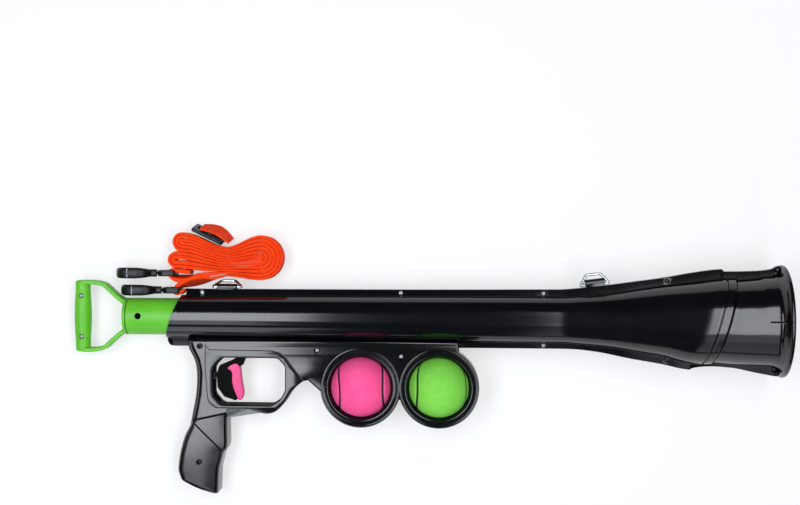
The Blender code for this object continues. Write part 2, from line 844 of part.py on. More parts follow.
def lug(x, half, y, tilt):
    """A lug on the flange with a bore at each end for the ends of a wire ring."""
    lean = (half - RING_TOP_HALF) * LUG_RADIUS / RING_HEIGHT
    inner = half - lean - 1.25 * RING_WIRE - LUG_END_GAP
    body = cylinder("ring_lug", LUG_RADIUS, (-inner, 0, 0), (inner, 0, 0), PIN_SIDES)
    foot = box(
        "ring_lug_foot",
        (-inner + GAP, -LUG_RADIUS - FIN_RISE * 0.5, -FIN_HALF - 0.5 * GAP),
        (inner - GAP, 0, FIN_HALF + 0.5 * GAP),
    )
    bore = cylinder(
        "ring_lug_bore",
        LUG_BORE_RADIUS,
        (-half - RING_WIRE, 0, 0),
        (-half + RING_END_TURN + GAP, 0, 0),
        PIN_SIDES,
    )
    other_bore = cylinder(
        "ring_lug_bore",
        LUG_BORE_RADIUS,
        (half - RING_END_TURN - GAP, 0, 0),
        (half + RING_WIRE, 0, 0),
        PIN_SIDES,
    )
    for item in (body, foot, bore, other_bore):
        place(item, REST, None, (x, y, 0), (0, 0, tilt))
    return (body, foot), (bore, other_bore)


def front_ring_y():
    """Height of the front ring's axis over the launcher's own."""
    share = (FRONT_RING_X - BARREL_END) / (BELL_END - BARREL_END)
    return outer_radius(FRONT_RING_X) + FIN_RISE + share * (BELL_FIN_RISE - FIN_RISE) + FRONT_RING_RISE


def rear_ring_y():
    """Height of the rear ring's axis over the launcher's own."""
    return outer_radius(REAR_RING_X) + FIN_RISE + REAR_RING_RISE


def band_cutters():
    """Two thin slanted slabs for each side, less a core, which leave shallow grooves."""
    core_line = [(x, max(r - BAND_GROOVE_DEPTH, 0.5 * r)) for x, r in outer_profile()[4:-3]]
    profile = [(core_line[0][0], 0)] + core_line + [(core_line[-1][0], 0)]
    slabs = []
    for side in (1, -1):
        for x in (BAND_FIRST_X, BAND_SECOND_X):
            low = (-0.5 * BAND_GROOVE_WIDTH, -2 * BELL_RADIUS, BELL_FIN_HALF + GAP)
            high = (0.5 * BAND_GROOVE_WIDTH, 2 * BELL_RADIUS, 2 * BELL_RADIUS)
            slab = box("band_slab", low, high)
            turn = 0 if side == 1 else math.pi
            place(slab, REST, None, (x, 0, 0), (turn, 0, -BAND_ANGLE))
            core = place(turned("band_core", profile), REST)
            cut(slab, core)
            slabs.append(slab)
    return slabs


def whole_shell():
    """Barrel, bell, muzzle, flange and lugs as one body, before it is parted."""
    profile = outer_profile()
    profile = [(profile[0][0], 0)] + profile + [(profile[-1][0], 0)]
    shell = place(turned("whole_shell", profile), REST)
    fin = place(extruded("fin_plate", fin_outline(), -FIN_HALF, FIN_HALF), REST)
    edge = 0.5 * BARREL_SCREW_OUT
    bell_start = BARREL_END + BELL_FIN_RISE
    bell_part = [(x, y + math.copysign(edge, y)) for x, y in fin_outline() if x > bell_start]
    wide_fin = place(extruded("bell_fin", bell_part, -BELL_FIN_HALF, BELL_FIN_HALF), REST)
    join(shell, fin, wide_fin)
    bores = []
    for x, half, y, tilt in (
        (FRONT_RING_X, FRONT_RING_HALF, front_ring_y(), FRONT_RING_TILT),
        (REAR_RING_X, REAR_RING_HALF, rear_ring_y(), 0),
    ):
        bodies, ends = lug(x, half, y, tilt)
        join(shell, *bodies)
        bores.extend(ends)
    line = bore_profile()
    line = [(line[0][0], 0)] + line + [(line[-1][0], 0)]
    bore = place(turned("shell_bore", line), REST)
    low = (-2 * TAIL_RADIUS, -3 * TAIL_RADIUS, -2 * TAIL_RADIUS)
    tail = box("tail_cutter", low, (0, 3 * TAIL_RADIUS, 2 * TAIL_RADIUS))
    place(tail, REST, None, (TAIL_CUT_X, 0, 0), (0, 0, -TAIL_CUT_ANGLE))
    cut(shell, bore, tail, *bores)
    for name, x, y, half in fin_screws():
        seat = half - FIN_SCREW_SEAT
        reach = 2 * LIP_RADIUS
        cut(shell, *screw_hole(x, y, seat, 2 * half, reach))
    hole_x, hole_y = FRAME_SCREWS[0]
    rear_hole = cylinder(
        "frame_screw_way",
        SCREW_SHANK_RADIUS + 2 * HOLE_GAP,
        (hole_x, hole_y, -2 * FIN_HALF),
        (hole_x, hole_y, 2 * FIN_HALF),
        SCREW_SIDES,
    )
    nose_room = box(
        "sear_way",
        (SEAR_NOSE_START - 5 * SEAR_SLOT_GAP, -2 * TAIL_RADIUS, -FIN_HALF - SEAR_SLOT_GAP),
        (SEAR_NOSE_END + 3 * SEAR_SLOT_GAP, 0, FIN_HALF + SEAR_SLOT_GAP),
    )
    cut(shell, place(rear_hole, REST), place(nose_room, REST))
    cut(shell, *band_cutters())
    return baked(shell, "whole_shell")


def parted(whole, name, side, material):
    """One half of a body, on the +Z side (1) or the -Z side (-1) of the parting plane."""
    half = bpy.data.objects.new(name, whole.data.copy())
    PARTS.objects.link(half)
    place(half, REST, material)
    reach = 2 * LAUNCHER_LENGTH
    edge = side * 0.5 * PARTING_GAP
    far = -side * reach
    block = box("parting_block", (-reach, -reach, min(edge, far)), (reach, reach, max(edge, far)))
    cut(half, place(block, REST))
    return smooth(half)


def build_shells():
    """The two main shells and the screws that hold them together."""
    whole = whole_shell()
    parted(whole, "shell_right", 1, BLACK_GLOSS)
    parted(whole, "shell_left", -1, BLACK_GLOSS)
    bpy.data.objects.remove(whole, do_unlink=True)
    for name, x, y, half in fin_screws():
        seat = half - FIN_SCREW_SEAT
        screw_body(name, REST, (x, y, seat), 2 * half - GAP)


def frame_outline():
    """Outline of the frame plate: top edge, ball rings, guard and the back of the grip."""
    front = (BALL_FRONT_X, BALL_Y)
    rear = (BALL_REAR_X, BALL_Y)
    start = math.acos((FRAME_FRONT_X - BALL_FRONT_X) / RING_RADIUS)
    web = math.acos(0.5 * (BALL_FRONT_X - BALL_REAR_X) / RING_RADIUS)
    points = [(FRAME_REAR_X, FRAME_TOP_Y), (FRAME_FRONT_X, FRAME_TOP_Y)]
    points += arc(front, RING_RADIUS, start, web - math.pi, RING_STEPS)
    points += arc(rear, RING_RADIUS, -web, -math.pi - web, RING_STEPS)[1:]
    points += scaled(LOWER_CONTOUR_SHARES, (FRAME_REAR_X, FRAME_TOP_Y), FRAME_LENGTH, GUARD_DROP)
    points += [(x - GAP, y) for x, y in grip_points(GRIP_FRONT_SHARES[-1:])]
    points += grip_points(PLATE_ROOT_SHARES + STRAP_BACK_SHARES)
    return points


def grip_outline():
    """Outline of the thick part of the grip."""
    return grip_points(GRIP_BACK_SHARES + GRIP_FRONT_SHARES)


def opening_outline():
    """The guard opening: a long hole with cut corners."""
    x0 = OPENING_REAR_X
    x1 = x0 + OPENING_LENGTH
    y1 = OPENING_TOP_Y
    y0 = y1 - OPENING_HEIGHT
    c = OPENING_CHAMFER
    return [
        (x0 + c, y1),
        (x0, y1 - c),
        (x0, y0 + c),
        (x0 + c, y0),
        (x1 - c, y0),
        (x1, y0 + c),
        (x1, y1 - c),
        (x1 - c, y1),
    ]


def frame_pockets():
    """Hollows inside the frame: over the guard, behind the trigger, in the grip and by the rings."""
    depth = FRAME_HALF - POCKET_WALL
    rooms = [
        box(
            "mechanism_room",
            (OPENING_REAR_X, OPENING_TOP_Y + POCKET_WALL, -depth),
            (SEAR_TAIL_END + SEAR_TAIL_ROOM, FRAME_TOP_Y + OVERRUN, depth),
        ),
        box(
            "lever_slot",
            (TRIGGER_PIVOT_X - 0.6 * LEVER_DEPTH, OPENING_TOP_Y - OVERRUN, -LEVER_ROOM_HALF),
            (SEAR_NOSE_END + LEVER_ROOM_HALF, OPENING_TOP_Y + 2 * POCKET_WALL, LEVER_ROOM_HALF),
        ),
        box(
            "lever_room",
            (LEVER_ROOM_X, LEVER_ROOM_LOW_Y, -LEVER_ROOM_HALF),
            (OPENING_REAR_X + OPENING_CHAMFER, LEVER_ROOM_TOP_Y, LEVER_ROOM_HALF),
        ),
        box(
            "fin_slot",
            (-FRAME_REAR_X, FIN_SLOT_FLOOR_Y, -FIN_HALF - HOLE_GAP),
            (2 * FRAME_FRONT_X, FRAME_TOP_Y + OVERRUN, FIN_HALF + HOLE_GAP),
        ),
    ]
    inside = GRIP_HALF - GRIP_WALL
    rooms.append(extruded("grip_room", grip_points(GRIP_HOLLOW_SHARES), -inside, inside))
    rooms.append(extruded("butt_room", grip_points(GRIP_BUTT_HOLLOW_SHARES), -inside, inside))
    return [place(room, REST) for room in rooms]


def pin_bosses():
    """Bosses on the inner walls that carry the ends of the two pins."""
    bosses = []
    holes = []
    wall = FRAME_HALF - 0.5 * POCKET_WALL
    for x, y in ((TRIGGER_PIVOT_X, TRIGGER_PIVOT_Y), (SEAR_PIVOT_X, SEAR_PIVOT_Y)):
        for side in (1, -1):
            near = side * PIN_BOSS_REACH
            far = side * wall
            boss = cylinder("pin_boss", PIN_BOSS_RADIUS, (x, y, near), (x, y, far))
            hole = cylinder(
                "pin_seat",
                PIN_RADIUS + HOLE_GAP,
                (x, y, side * (PIN_BOSS_REACH - OVERRUN)),
                (x, y, side * (PIN_HALF_LENGTH + GAP)),
            )
            bosses.append(place(boss, REST))
            holes.append(place(hole, REST))
    return bosses, holes


def ball_cutters():
    """Bores of the ball rings: full size towards the right side, a smaller lip on the left."""
    seat = math.sqrt(BALL_RADIUS**2 - LIP_HOLE_RADIUS**2)
    lip_z = BALL_SIDE_SHIFT - seat - BALL_CLEARANCE
    cutters = []
    for x in (BALL_REAR_X, BALL_FRONT_X):
        wide = cylinder(
            "ball_bore",
            BALL_RADIUS + 2 * BALL_CLEARANCE,
            (x, BALL_Y, lip_z),
            (x, BALL_Y, FRAME_HALF + OVERRUN),
            TURN_STEPS,
        )
        lip = cylinder(
            "ball_lip",
            LIP_HOLE_RADIUS,
            (x, BALL_Y, -FRAME_HALF - OVERRUN),
            (x, BALL_Y, lip_z + OVERRUN * 0.5),
            TURN_STEPS,
        )
        cutters += [place(wide, REST), place(lip, REST)]
    return cutters


def whole_frame():
    """Plate, grip and ring lips as one body, before it is parted."""
    frame = place(extruded("whole_frame", frame_outline(), -FRAME_HALF, FRAME_HALF), REST)
    bevel(frame, FRAME_BEVEL, 1, math.radians(60))
    grip = place(extruded("grip_block", grip_outline(), -GRIP_HALF, GRIP_HALF), REST)
    bevel(grip, FRAME_BEVEL, 2, math.radians(60))
    join(frame, grip)
    for x in (BALL_REAR_X, BALL_FRONT_X):
        height = FRAME_HALF + RING_LIP_RISE
        lip = cylinder("ring_lip", RING_LIP_RADIUS, (x, BALL_Y, -height), (x, BALL_Y, height), TURN_STEPS)
        join(frame, place(lip, REST))
    opening = extruded(
        "guard_opening",
        opening_outline(),
        -FRAME_HALF - OVERRUN,
        FRAME_HALF + OVERRUN,
    )
    cut(frame, place(opening, REST), *frame_pockets())
    bosses, holes = pin_bosses()
    join(frame, *bosses)
    cut(frame, *holes, *ball_cutters())
    for x, y in FRAME_SCREWS:
        seat = FRAME_HALF - FRAME_SCREW_SEAT
        cut(frame, *screw_hole(x, y, seat, 2 * seat, FRAME_HALF + OVERRUN))
    seat = GRIP_HALF - FRAME_SCREW_SEAT
    cut(frame, *screw_hole(*grip_points([GRIP_SCREW_SHARE])[0], seat, 2 * seat, GRIP_HALF + OVERRUN))
    return baked(frame, "whole_frame")


def build_frame():
    """The grip frame in two halves, with its screws."""
    whole = whole_frame()
    parted(whole, "frame_right", 1, BLACK_GLOSS)
    parted(whole, "frame_left", -1, BLACK_GLOSS)
    bpy.data.objects.remove(whole, do_unlink=True)
    seat = FRAME_HALF - FRAME_SCREW_SEAT
    for i, (x, y) in enumerate(FRAME_SCREWS):
        screw_body(f"frame_screw_{i + 1}", REST, (x, y, seat), 2 * seat - GAP)
    seat = GRIP_HALF - FRAME_SCREW_SEAT
    screw_body("grip_screw", REST, (*grip_points([GRIP_SCREW_SHARE])[0], seat), 2 * seat - GAP)


def build_draw_tube():
    """The green draw tube with its catch window, plug and side screw."""
    inner = TUBE_RADIUS - TUBE_WALL
    profile = [
        (TUBE_REAR, inner),
        (TUBE_REAR, TUBE_RADIUS),
        (TUBE_FRONT, TUBE_RADIUS),
        (TUBE_FRONT, inner),
        (TUBE_REAR, inner),
    ]
    tube = place(turned("draw_tube", profile), HANDLE, GREEN)
    window = box(
        "catch_window",
        (CATCH_START, -2 * TUBE_RADIUS, -SEAR_HALF - SEAR_SLOT_GAP),
        (CATCH_START + CATCH_LENGTH, 0, SEAR_HALF + SEAR_SLOT_GAP),
    )
    cut(tube, place(window, HANDLE))
    head = SCREW_HEAD_RADIUS + 2 * HOLE_GAP
    hole = cylinder("tube_screw_hole", head, (TUBE_SCREW_X, 0, 0), (TUBE_SCREW_X, 0, 2 * TUBE_RADIUS))
    cut(tube, place(hole, HANDLE))
    smooth(tube)
    front = TUBE_FRONT
    rear = TUBE_FRONT - PLUG_LENGTH
    radius = inner - GAP
    plug = turned("tube_plug", [(rear, 0), (rear, radius), (front, radius), (front, 0)])
    place(smooth(plug), HANDLE, WHITE)


def build_striker():
    """Rod, cup and soft pad that the mainspring throws forward."""
    start = TUBE_FRONT + GAP
    end = STRIKER_START - GAP
    rod = cylinder("striker_rod", ROD_RADIUS, (start, 0, 0), (end, 0, 0))
    place(smooth(rod), HANDLE, STEEL)
    front = STRIKER_START + STRIKER_FLANGE + STRIKER_CUP_LENGTH
    floor = STRIKER_START + STRIKER_FLANGE
    cup_inner = STRIKER_CUP_RADIUS - STRIKER_CUP_WALL
    profile = [
        (STRIKER_START, 0),
        (STRIKER_START, STRIKER_RADIUS),
        (floor, STRIKER_RADIUS),
        (floor, STRIKER_CUP_RADIUS),
        (front, STRIKER_CUP_RADIUS),
        (front, cup_inner),
        (floor, cup_inner),
        (floor, 0),
    ]
    cup = turned("striker_cup", profile)
    place(smooth(cup), HANDLE, WHITE)
    pad_start = floor + GAP
    pad_end = front + PAD_LENGTH
    radius = cup_inner - GAP
    profile = [
        (pad_start, 0),
        (pad_start, radius),
        (pad_end, radius),
        (pad_end, 0.5 * radius),
        (pad_end - PAD_DISH, 0),
    ]
    pad = turned("striker_pad", profile)
    place(smooth(pad), HANDLE, SOFT_GREY)


def build_mainspring():
    """The mainspring and the fixed collar that it pushes against."""
    outer = outer_radius(COLLAR_START) - WALL - GAP
    hole = ROD_RADIUS + RUNNING_GAP
    end = COLLAR_START + COLLAR_LENGTH
    profile = [
        (COLLAR_START, hole),
        (COLLAR_START, outer),
        (end, outer),
        (end, hole),
        (COLLAR_START, hole),
    ]
    collar = turned("spring_seat_collar", profile)
    place(smooth(collar), REST, WHITE)
    half = 0.5 * MAIN_WIRE
    start = end + half + GAP
    stop = STRIKER_START - half - GAP
    points = helix(start, stop, MAIN_COIL_RADIUS, MAIN_TURNS, MAIN_POINTS_PER_TURN)
    spring = wire("mainspring", points, half, 1)
    place(smooth(spring), REST, SPRING_STEEL)


def arm_line(side):
    """Middle line of one arm of the yoke, from the bar to the tube, on one side (1 or -1)."""
    start_x = BAR_CENTRE_X + BAR_RADIUS
    end_x = TUBE_REAR - ARM_SEAT_SHARE * YOKE_PLUG_OUT
    middle = HANDLE_HALF_SPAN - 0.5 * STRIP_THICKNESS
    points = [(BAR_CENTRE_X - BAR_RADIUS + GAP, side * middle), (start_x, side * middle)]
    for along, out in ARM_SHARES[1:]:
        points.append((start_x + along * (end_x - start_x), side * out * middle))
    return points


def strip_outline(line, thickness):
    """Outline of a flat strip of one thickness that follows a line."""
    left = []
    right = []
    for i, (x, y) in enumerate(line):
        x0, y0 = line[max(i - 1, 0)]
        x1, y1 = line[min(i + 1, len(line) - 1)]
        length = math.hypot(x1 - x0, y1 - y0)
        nx = -(y1 - y0) / length * 0.5 * thickness
        ny = (x1 - x0) / length * 0.5 * thickness
        left.append((x + nx, y + ny))
        right.append((x - nx, y - ny))
    return left + right[::-1]


def build_handle():
    """The D-handle: a yoke plugged into the tube, and two grip halves screwed round its core."""
    depth = STRIP_HALF_DEPTH
    radius = TUBE_RADIUS - TUBE_WALL - GAP
    rear = TUBE_REAR - YOKE_PLUG_OUT
    front = TUBE_REAR + YOKE_PLUG_LENGTH
    seat = TUBE_REAR - GAP
    profile = [(rear, 0), (rear, TUBE_RADIUS), (seat, TUBE_RADIUS), (seat, radius), (front, radius), (front, 0)]
    yoke = place(turned("handle_yoke", profile), HANDLE, GREEN)
    for side in (1, -1):
        outline = strip_outline(arm_line(side), STRIP_THICKNESS)
        arm = extruded("yoke_arm", outline, -depth, depth)
        join(yoke, place(arm, HANDLE))
    core = box(
        "yoke_core",
        (BAR_CENTRE_X - CORE_HALF_HEIGHT, -BAR_HALF_SPAN - GAP, -CORE_HALF_DEPTH),
        (BAR_CENTRE_X + CORE_HALF_HEIGHT, BAR_HALF_SPAN + GAP, CORE_HALF_DEPTH),
    )
    join(yoke, place(core, HANDLE))
    seat = radius - SCREW_HEAD_HEIGHT
    cut(yoke, *handle_hole(TUBE_SCREW_X, 0, seat, 2 * seat, 2 * TUBE_RADIUS))
    for y in (HANDLE_SCREW_SPAN, -HANDLE_SCREW_SPAN):
        way = cylinder(
            "core_way",
            SCREW_SHANK_RADIUS + HOLE_GAP,
            (BAR_CENTRE_X, y, -BAR_RADIUS),
            (BAR_CENTRE_X, y, BAR_RADIUS),
            SCREW_SIDES,
        )
        cut(yoke, place(way, HANDLE))
    screw_body("tube_screw", HANDLE, (TUBE_SCREW_X, 0, seat), 2 * seat - GAP)
    build_bar_halves()


def handle_hole(x, y, seat, depth, reach):
    """Screw cutters that travel with the handle."""
    cutters = screw_hole(x, y, seat, depth, reach)
    for item in cutters:
        item.parent = HANDLE
    return cutters


def build_bar_halves():
    """The bar's two half shells, near side and far side, with their screws."""
    end = BAR_HALF_SPAN - GAP
    profile = [
        (-end, 0),
        (-end, BAR_WAIST_RADIUS),
        (-0.62 * end, BAR_WAIST_RADIUS),
        (-0.25 * end, BAR_RADIUS),
        (0.25 * end, BAR_RADIUS),
        (0.62 * end, BAR_WAIST_RADIUS),
        (end, BAR_WAIST_RADIUS),
        (end, 0),
    ]
    bar = turned("whole_bar", profile, 20)
    place(bar, HANDLE, None, (BAR_CENTRE_X, 0, 0), (0, 0, math.radians(90)))
    core = box(
        "core_room",
        (BAR_CENTRE_X - CORE_HALF_HEIGHT - GAP, -BAR_HALF_SPAN - OVERRUN, -CORE_HALF_DEPTH - GAP),
        (BAR_CENTRE_X + CORE_HALF_HEIGHT + GAP, BAR_HALF_SPAN + OVERRUN, CORE_HALF_DEPTH + GAP),
    )
    seat = BAR_WAIST_RADIUS - SCREW_HEAD_HEIGHT - GAP
    for y in (HANDLE_SCREW_SPAN, -HANDLE_SCREW_SPAN):
        cut(bar, *handle_hole(BAR_CENTRE_X, y, seat, 2 * seat, BAR_RADIUS + OVERRUN))
    cut(bar, place(core, HANDLE))
    whole = baked(bar, "whole_bar")
    for name, side in (("handle_grip_near", 1), ("handle_grip_far", -1)):
        half = bpy.data.objects.new(name, whole.data.copy())
        PARTS.objects.link(half)
        place(half, HANDLE, GREEN, (BAR_CENTRE_X, 0, 0), (0, 0, math.radians(90)))
        far = -side * 2 * BAR_RADIUS
        edge = side * 0.5 * PARTING_GAP
        block = box(
            "bar_parting_block",
            (BAR_CENTRE_X - 2 * BAR_RADIUS, -2 * BAR_HALF_SPAN, min(edge, far)),
            (BAR_CENTRE_X + 2 * BAR_RADIUS, 2 * BAR_HALF_SPAN, max(edge, far)),
        )
        cut(half, place(block, HANDLE))
        smooth(half)
    bpy.data.objects.remove(whole, do_unlink=True)
    for name, y in (("handle_screw_top", HANDLE_SCREW_SPAN), ("handle_screw_bottom", -HANDLE_SCREW_SPAN)):
        screw_body(name, HANDLE, (BAR_CENTRE_X, y, seat), 2 * seat - GAP)


def build_trigger():
    """Trigger lever on its pin, the blade in front of it and the spring behind it."""
    top = (0, 0)
    outline = scaled(LEVER_SHARES, top, LEVER_DEPTH, LEVER_HEIGHT)
    lever = extruded("trigger_lever", outline, -LEVER_HALF, LEVER_HALF)
    place(lever, TRIGGER, BLACK_MATT)
    boss = cylinder("lever_boss", LEVER_BOSS_RADIUS, (0, 0, -LEVER_HALF), (0, 0, FINGER_HIGH_Z))
    finger = box(
        "lever_finger",
        (-0.5 * LEVER_BOSS_RADIUS, FINGER_LOW_Y - TRIGGER_PIVOT_Y, FINGER_LOW_Z),
        (FINGER_TIP_X - TRIGGER_PIVOT_X, FINGER_HIGH_Y - TRIGGER_PIVOT_Y, FINGER_HIGH_Z),
    )
    stem = box(
        "lever_stem",
        (-0.5 * LEVER_BOSS_RADIUS, 0, FINGER_LOW_Z),
        (0.5 * LEVER_BOSS_RADIUS, FINGER_HIGH_Y - TRIGGER_PIVOT_Y, FINGER_HIGH_Z),
    )
    join(lever, place(boss, TRIGGER), place(finger, TRIGGER), place(stem, TRIGGER))
    hole = cylinder("lever_hole", PIN_RADIUS + HOLE_GAP, (0, 0, -2 * LEVER_HALF), (0, 0, 2 * LEVER_HALF))
    cut(lever, place(hole, TRIGGER))
    outline = scaled(BLADE_SHARES, top, LEVER_DEPTH, LEVER_HEIGHT)
    blade = extruded("trigger_blade", outline, -LEVER_HALF, LEVER_HALF)
    bevel(blade, 2 * GAP, 1)
    place(blade, TRIGGER, PINK)
    half = 0.5 * TRIGGER_SPRING_WIRE
    rear = LEVER_ROOM_X + half + GAP
    front = TRIGGER_PIVOT_X - LEVER_DEPTH - half - GAP
    points = helix(rear, front, TRIGGER_SPRING_RADIUS, TRIGGER_SPRING_TURNS, MAIN_POINTS_PER_TURN)
    spring = wire("trigger_spring", points, half, 1)
    place(smooth(spring), REST, SPRING_STEEL, (0, TRIGGER_SPRING_Y, 0))


def build_sear():
    """Sear that holds the drawn tube, its spring, and the two fixed pins."""
    low = SEAR_ARM_LOW_Y - SEAR_PIVOT_Y
    top = SEAR_ARM_TOP_Y - SEAR_PIVOT_Y
    tail_top = SEAR_TAIL_THICKNESS - SEAR_TAIL_LOW
    nose_top = -TUBE_RADIUS - 2 * GAP - SEAR_PIVOT_Y
    left = SEAR_NOSE_START - SEAR_PIVOT_X
    right = SEAR_NOSE_END - SEAR_PIVOT_X
    outline = [
        (left, low),
        (-0.5 * SEAR_BOSS_RADIUS, low),
        (0, -SEAR_TAIL_LOW),
        (SEAR_TAIL_END - SEAR_PIVOT_X, -SEAR_TAIL_LOW),
        (SEAR_TAIL_END - SEAR_PIVOT_X, tail_top),
        (SEAR_BOSS_RADIUS, tail_top),
        (0.5 * SEAR_BOSS_RADIUS, top),
        (right, top),
        (right, nose_top),
        (left, nose_top - (right - left) * 0.5),
    ]
    sear = extruded("sear", outline, -SEAR_HALF, SEAR_HALF)
    place(sear, SEAR, STEEL)
    boss = cylinder("sear_boss", SEAR_BOSS_RADIUS, (0, 0, -LEVER_HALF), (0, 0, LEVER_HALF))
    ledge = box(
        "sear_ledge",
        (LEDGE_START_X - SEAR_PIVOT_X, low + GAP, 0),
        (FINGER_TIP_X - SEAR_PIVOT_X, LEDGE_TOP_Y - SEAR_PIVOT_Y, FINGER_HIGH_Z),
    )
    join(sear, place(boss, SEAR), place(ledge, SEAR))
    hole = cylinder("sear_hole", PIN_RADIUS + HOLE_GAP, (0, 0, -2 * LEVER_HALF), (0, 0, 2 * LEVER_HALF))
    cut(sear, place(hole, SEAR))
    for name, x, y in (
        ("trigger_pin", TRIGGER_PIVOT_X, TRIGGER_PIVOT_Y),
        ("sear_pin", SEAR_PIVOT_X, SEAR_PIVOT_Y),
    ):
        pin = cylinder(name, PIN_RADIUS, (x, y, -PIN_HALF_LENGTH), (x, y, PIN_HALF_LENGTH))
        place(smooth(pin), REST, STEEL)
    half = 0.5 * SEAR_SPRING_WIRE
    top_y = FIN_SLOT_FLOOR_Y - half - GAP
    seat_y = SEAR_PIVOT_Y + tail_top + half + GAP
    points = helix(seat_y, top_y, SEAR_SPRING_RADIUS, SEAR_SPRING_TURNS, MAIN_POINTS_PER_TURN, "Y")
    spring = wire("sear_spring", points, half, 1)
    place(smooth(spring), REST, SPRING_STEEL, (SEAR_SPRING_X, 0, 0))


def ring_line(half):
    """Line of a wire ring: an end in the lug, a leg, the bar, the other leg and end."""
    return [
        (-half + RING_END_TURN, 0, 0),
        (-half, 0, 0),
        (-RING_TOP_HALF, RING_HEIGHT, 0),
        (RING_TOP_HALF, RING_HEIGHT, 0),
        (half, 0, 0),
        (half - RING_END_TURN, 0, 0),
    ]


def rounded_line(points, radius, count=3):
    """A line with its corners rounded off."""
    result = [Vector(points[0])]
    for a, b, c in zip(points, points[1:], points[2:]):
        a, b, c = Vector(a), Vector(b), Vector(c)
        before = (a - b).normalized()
        after = (c - b).normalized()
        for i in range(count):
            share = i / (count - 1)
            start = b + before * radius
            end = b + after * radius
            first = start.lerp(b, share)
            second = b.lerp(end, share)
            result.append(first.lerp(second, share))
    result.append(Vector(points[-1]))
    return [tuple(p) for p in result]


def build_rings():
    """The two wire sling rings, each drooping towards the floor."""
    front = (FRONT_RING_X, front_ring_y(), 0)
    rear = (REAR_RING_X, rear_ring_y(), 0)
    for name, centre, half, tilt, droop in (
        ("front_sling_ring", front, FRONT_RING_HALF, FRONT_RING_TILT, FRONT_RING_DROOP),
        ("rear_sling_ring", rear, REAR_RING_HALF, 0, REAR_RING_DROOP),
    ):
        frame = add_empty(name + "_frame", REST, centre, (0, 0, tilt))
        line = rounded_line(ring_line(half), 1.2 * RING_WIRE)
        ring = wire(name, line, RING_WIRE, 2)
        place(smooth(ring), frame, STEEL, (0, 0, 0), (-droop, 0, 0))


def build_balls():
    """The two balls in their rings."""
    for name, x, material in (
        ("pink_ball", BALL_REAR_X, PINK_RUBBER),
        ("green_ball", BALL_FRONT_X, GREEN_RUBBER),
    ):

        def build(shape):
            bmesh.ops.create_uvsphere(shape, u_segments=20, v_segments=10, radius=BALL_RADIUS)

        ball = mesh_piece(name, build)
        place(smooth(ball), REST, material, (x, BALL_Y, BALL_SIDE_SHIFT))


def waist_y(run):
    """Where a run of the hank crosses the waist."""
    return WAIST_Y + (0.5 * (HANK_RUNS + 1) - run) * WAIST_PITCH


def right_offset(run):
    """Signed radius of a run where it enters the right lobe."""
    pair = min(run, HANK_RUNS + 1 - run) - 1
    radius = RIGHT_OUTER_RADIUS - pair * RIGHT_PITCH
    return radius if run <= HANK_RUNS // 2 else -radius


def left_seat(run):
    """Centre and signed radius of a run where it enters a left lobe."""
    if run <= 3:
        return (UPPER_LOBE_X, UPPER_LOBE_Y), UPPER_RADII[run - 1]
    if run <= 6:
        return (UPPER_LOBE_X, UPPER_LOBE_Y), -UPPER_RADII[6 - run]
    if run <= 8:
        return (LOWER_LOBE_X, LOWER_LOBE_Y), LOWER_RADII[run - 7]
    return (LOWER_LOBE_X, LOWER_LOBE_Y), -LOWER_RADII[10 - run]


def eased(a, b, share):
    """Blend two values so that the line leaves and arrives straight."""
    return a + (b - a) * share * share * (3 - 2 * share)


def run_half(run, side):
    """Points of a run from the waist towards a lobe, waist point left out."""
    if side == "right":
        end_x = RIGHT_LOBE_X
        end_y = RIGHT_LOBE_Y + right_offset(run)
    else:
        (end_x, centre_y), radius = left_seat(run)
        end_y = centre_y + radius
    points = []
    for i in range(1, RUN_POINTS + 1):
        share = i / RUN_POINTS
        points.append((WAIST_X + (end_x - WAIST_X) * share, eased(waist_y(run), end_y, share)))
    return points


def turn_points(centre, radius, side):
    """Inner points of a half turn from the run above (radius > 0) or below it (radius < 0)."""
    points = []
    sign = 1 if radius > 0 else -1
    for i in range(1, TURN_POINTS):
        angle = math.pi * i / TURN_POINTS
        along = math.sin(angle) * abs(radius)
        across = math.cos(angle) * abs(radius) * sign
        points.append((centre[0] + (along if side == "right" else -along), centre[1] + across))
    return points


def wrap_points(bar, start, end, count):
    """Points of the webbing round the bar of an eye."""
    return arc(bar, EYE_WRAP_RADIUS, start, end, count)


def hank_line():
    """Middle line of the webbing: eye of hook one, twelve runs, eye of hook two."""
    bar = HOOK_ONE_BAR
    points = list(FIRST_END_ROUTE)
    points += wrap_points(bar, math.radians(90), math.radians(270), 6)
    last = points[-1]
    for i in range(1, RUN_POINTS):
        share = i / RUN_POINTS
        points.append((last[0] + (WAIST_X - last[0]) * share, eased(last[1], waist_y(11), share)))
    points.append((WAIST_X, waist_y(11)))
    points += run_half(11, "right")
    points += turn_points((RIGHT_LOBE_X, RIGHT_LOBE_Y), right_offset(11), "right")
    heading = "left"
    for i, run in enumerate(HANK_ORDER):
        if heading == "left":
            points += run_half(run, "right")[::-1]
            points.append((WAIST_X, waist_y(run)))
            points += run_half(run, "left")
            centre, radius = left_seat(run)
            points += turn_points(centre, radius, "left")
            heading = "right"
        else:
            points += run_half(run, "left")[::-1]
            points.append((WAIST_X, waist_y(run)))
            points += run_half(run, "right")
            points += turn_points((RIGHT_LOBE_X, RIGHT_LOBE_Y), right_offset(run), "right")
            heading = "left"
    points += run_half(12, "right")[::-1]
    points.append((WAIST_X, waist_y(12)))
    points += SECOND_END_ROUTE
    points += wrap_points(HOOK_TWO_BAR, math.radians(90), math.radians(270), 6)
    points += SECOND_END_RETURN
    return points


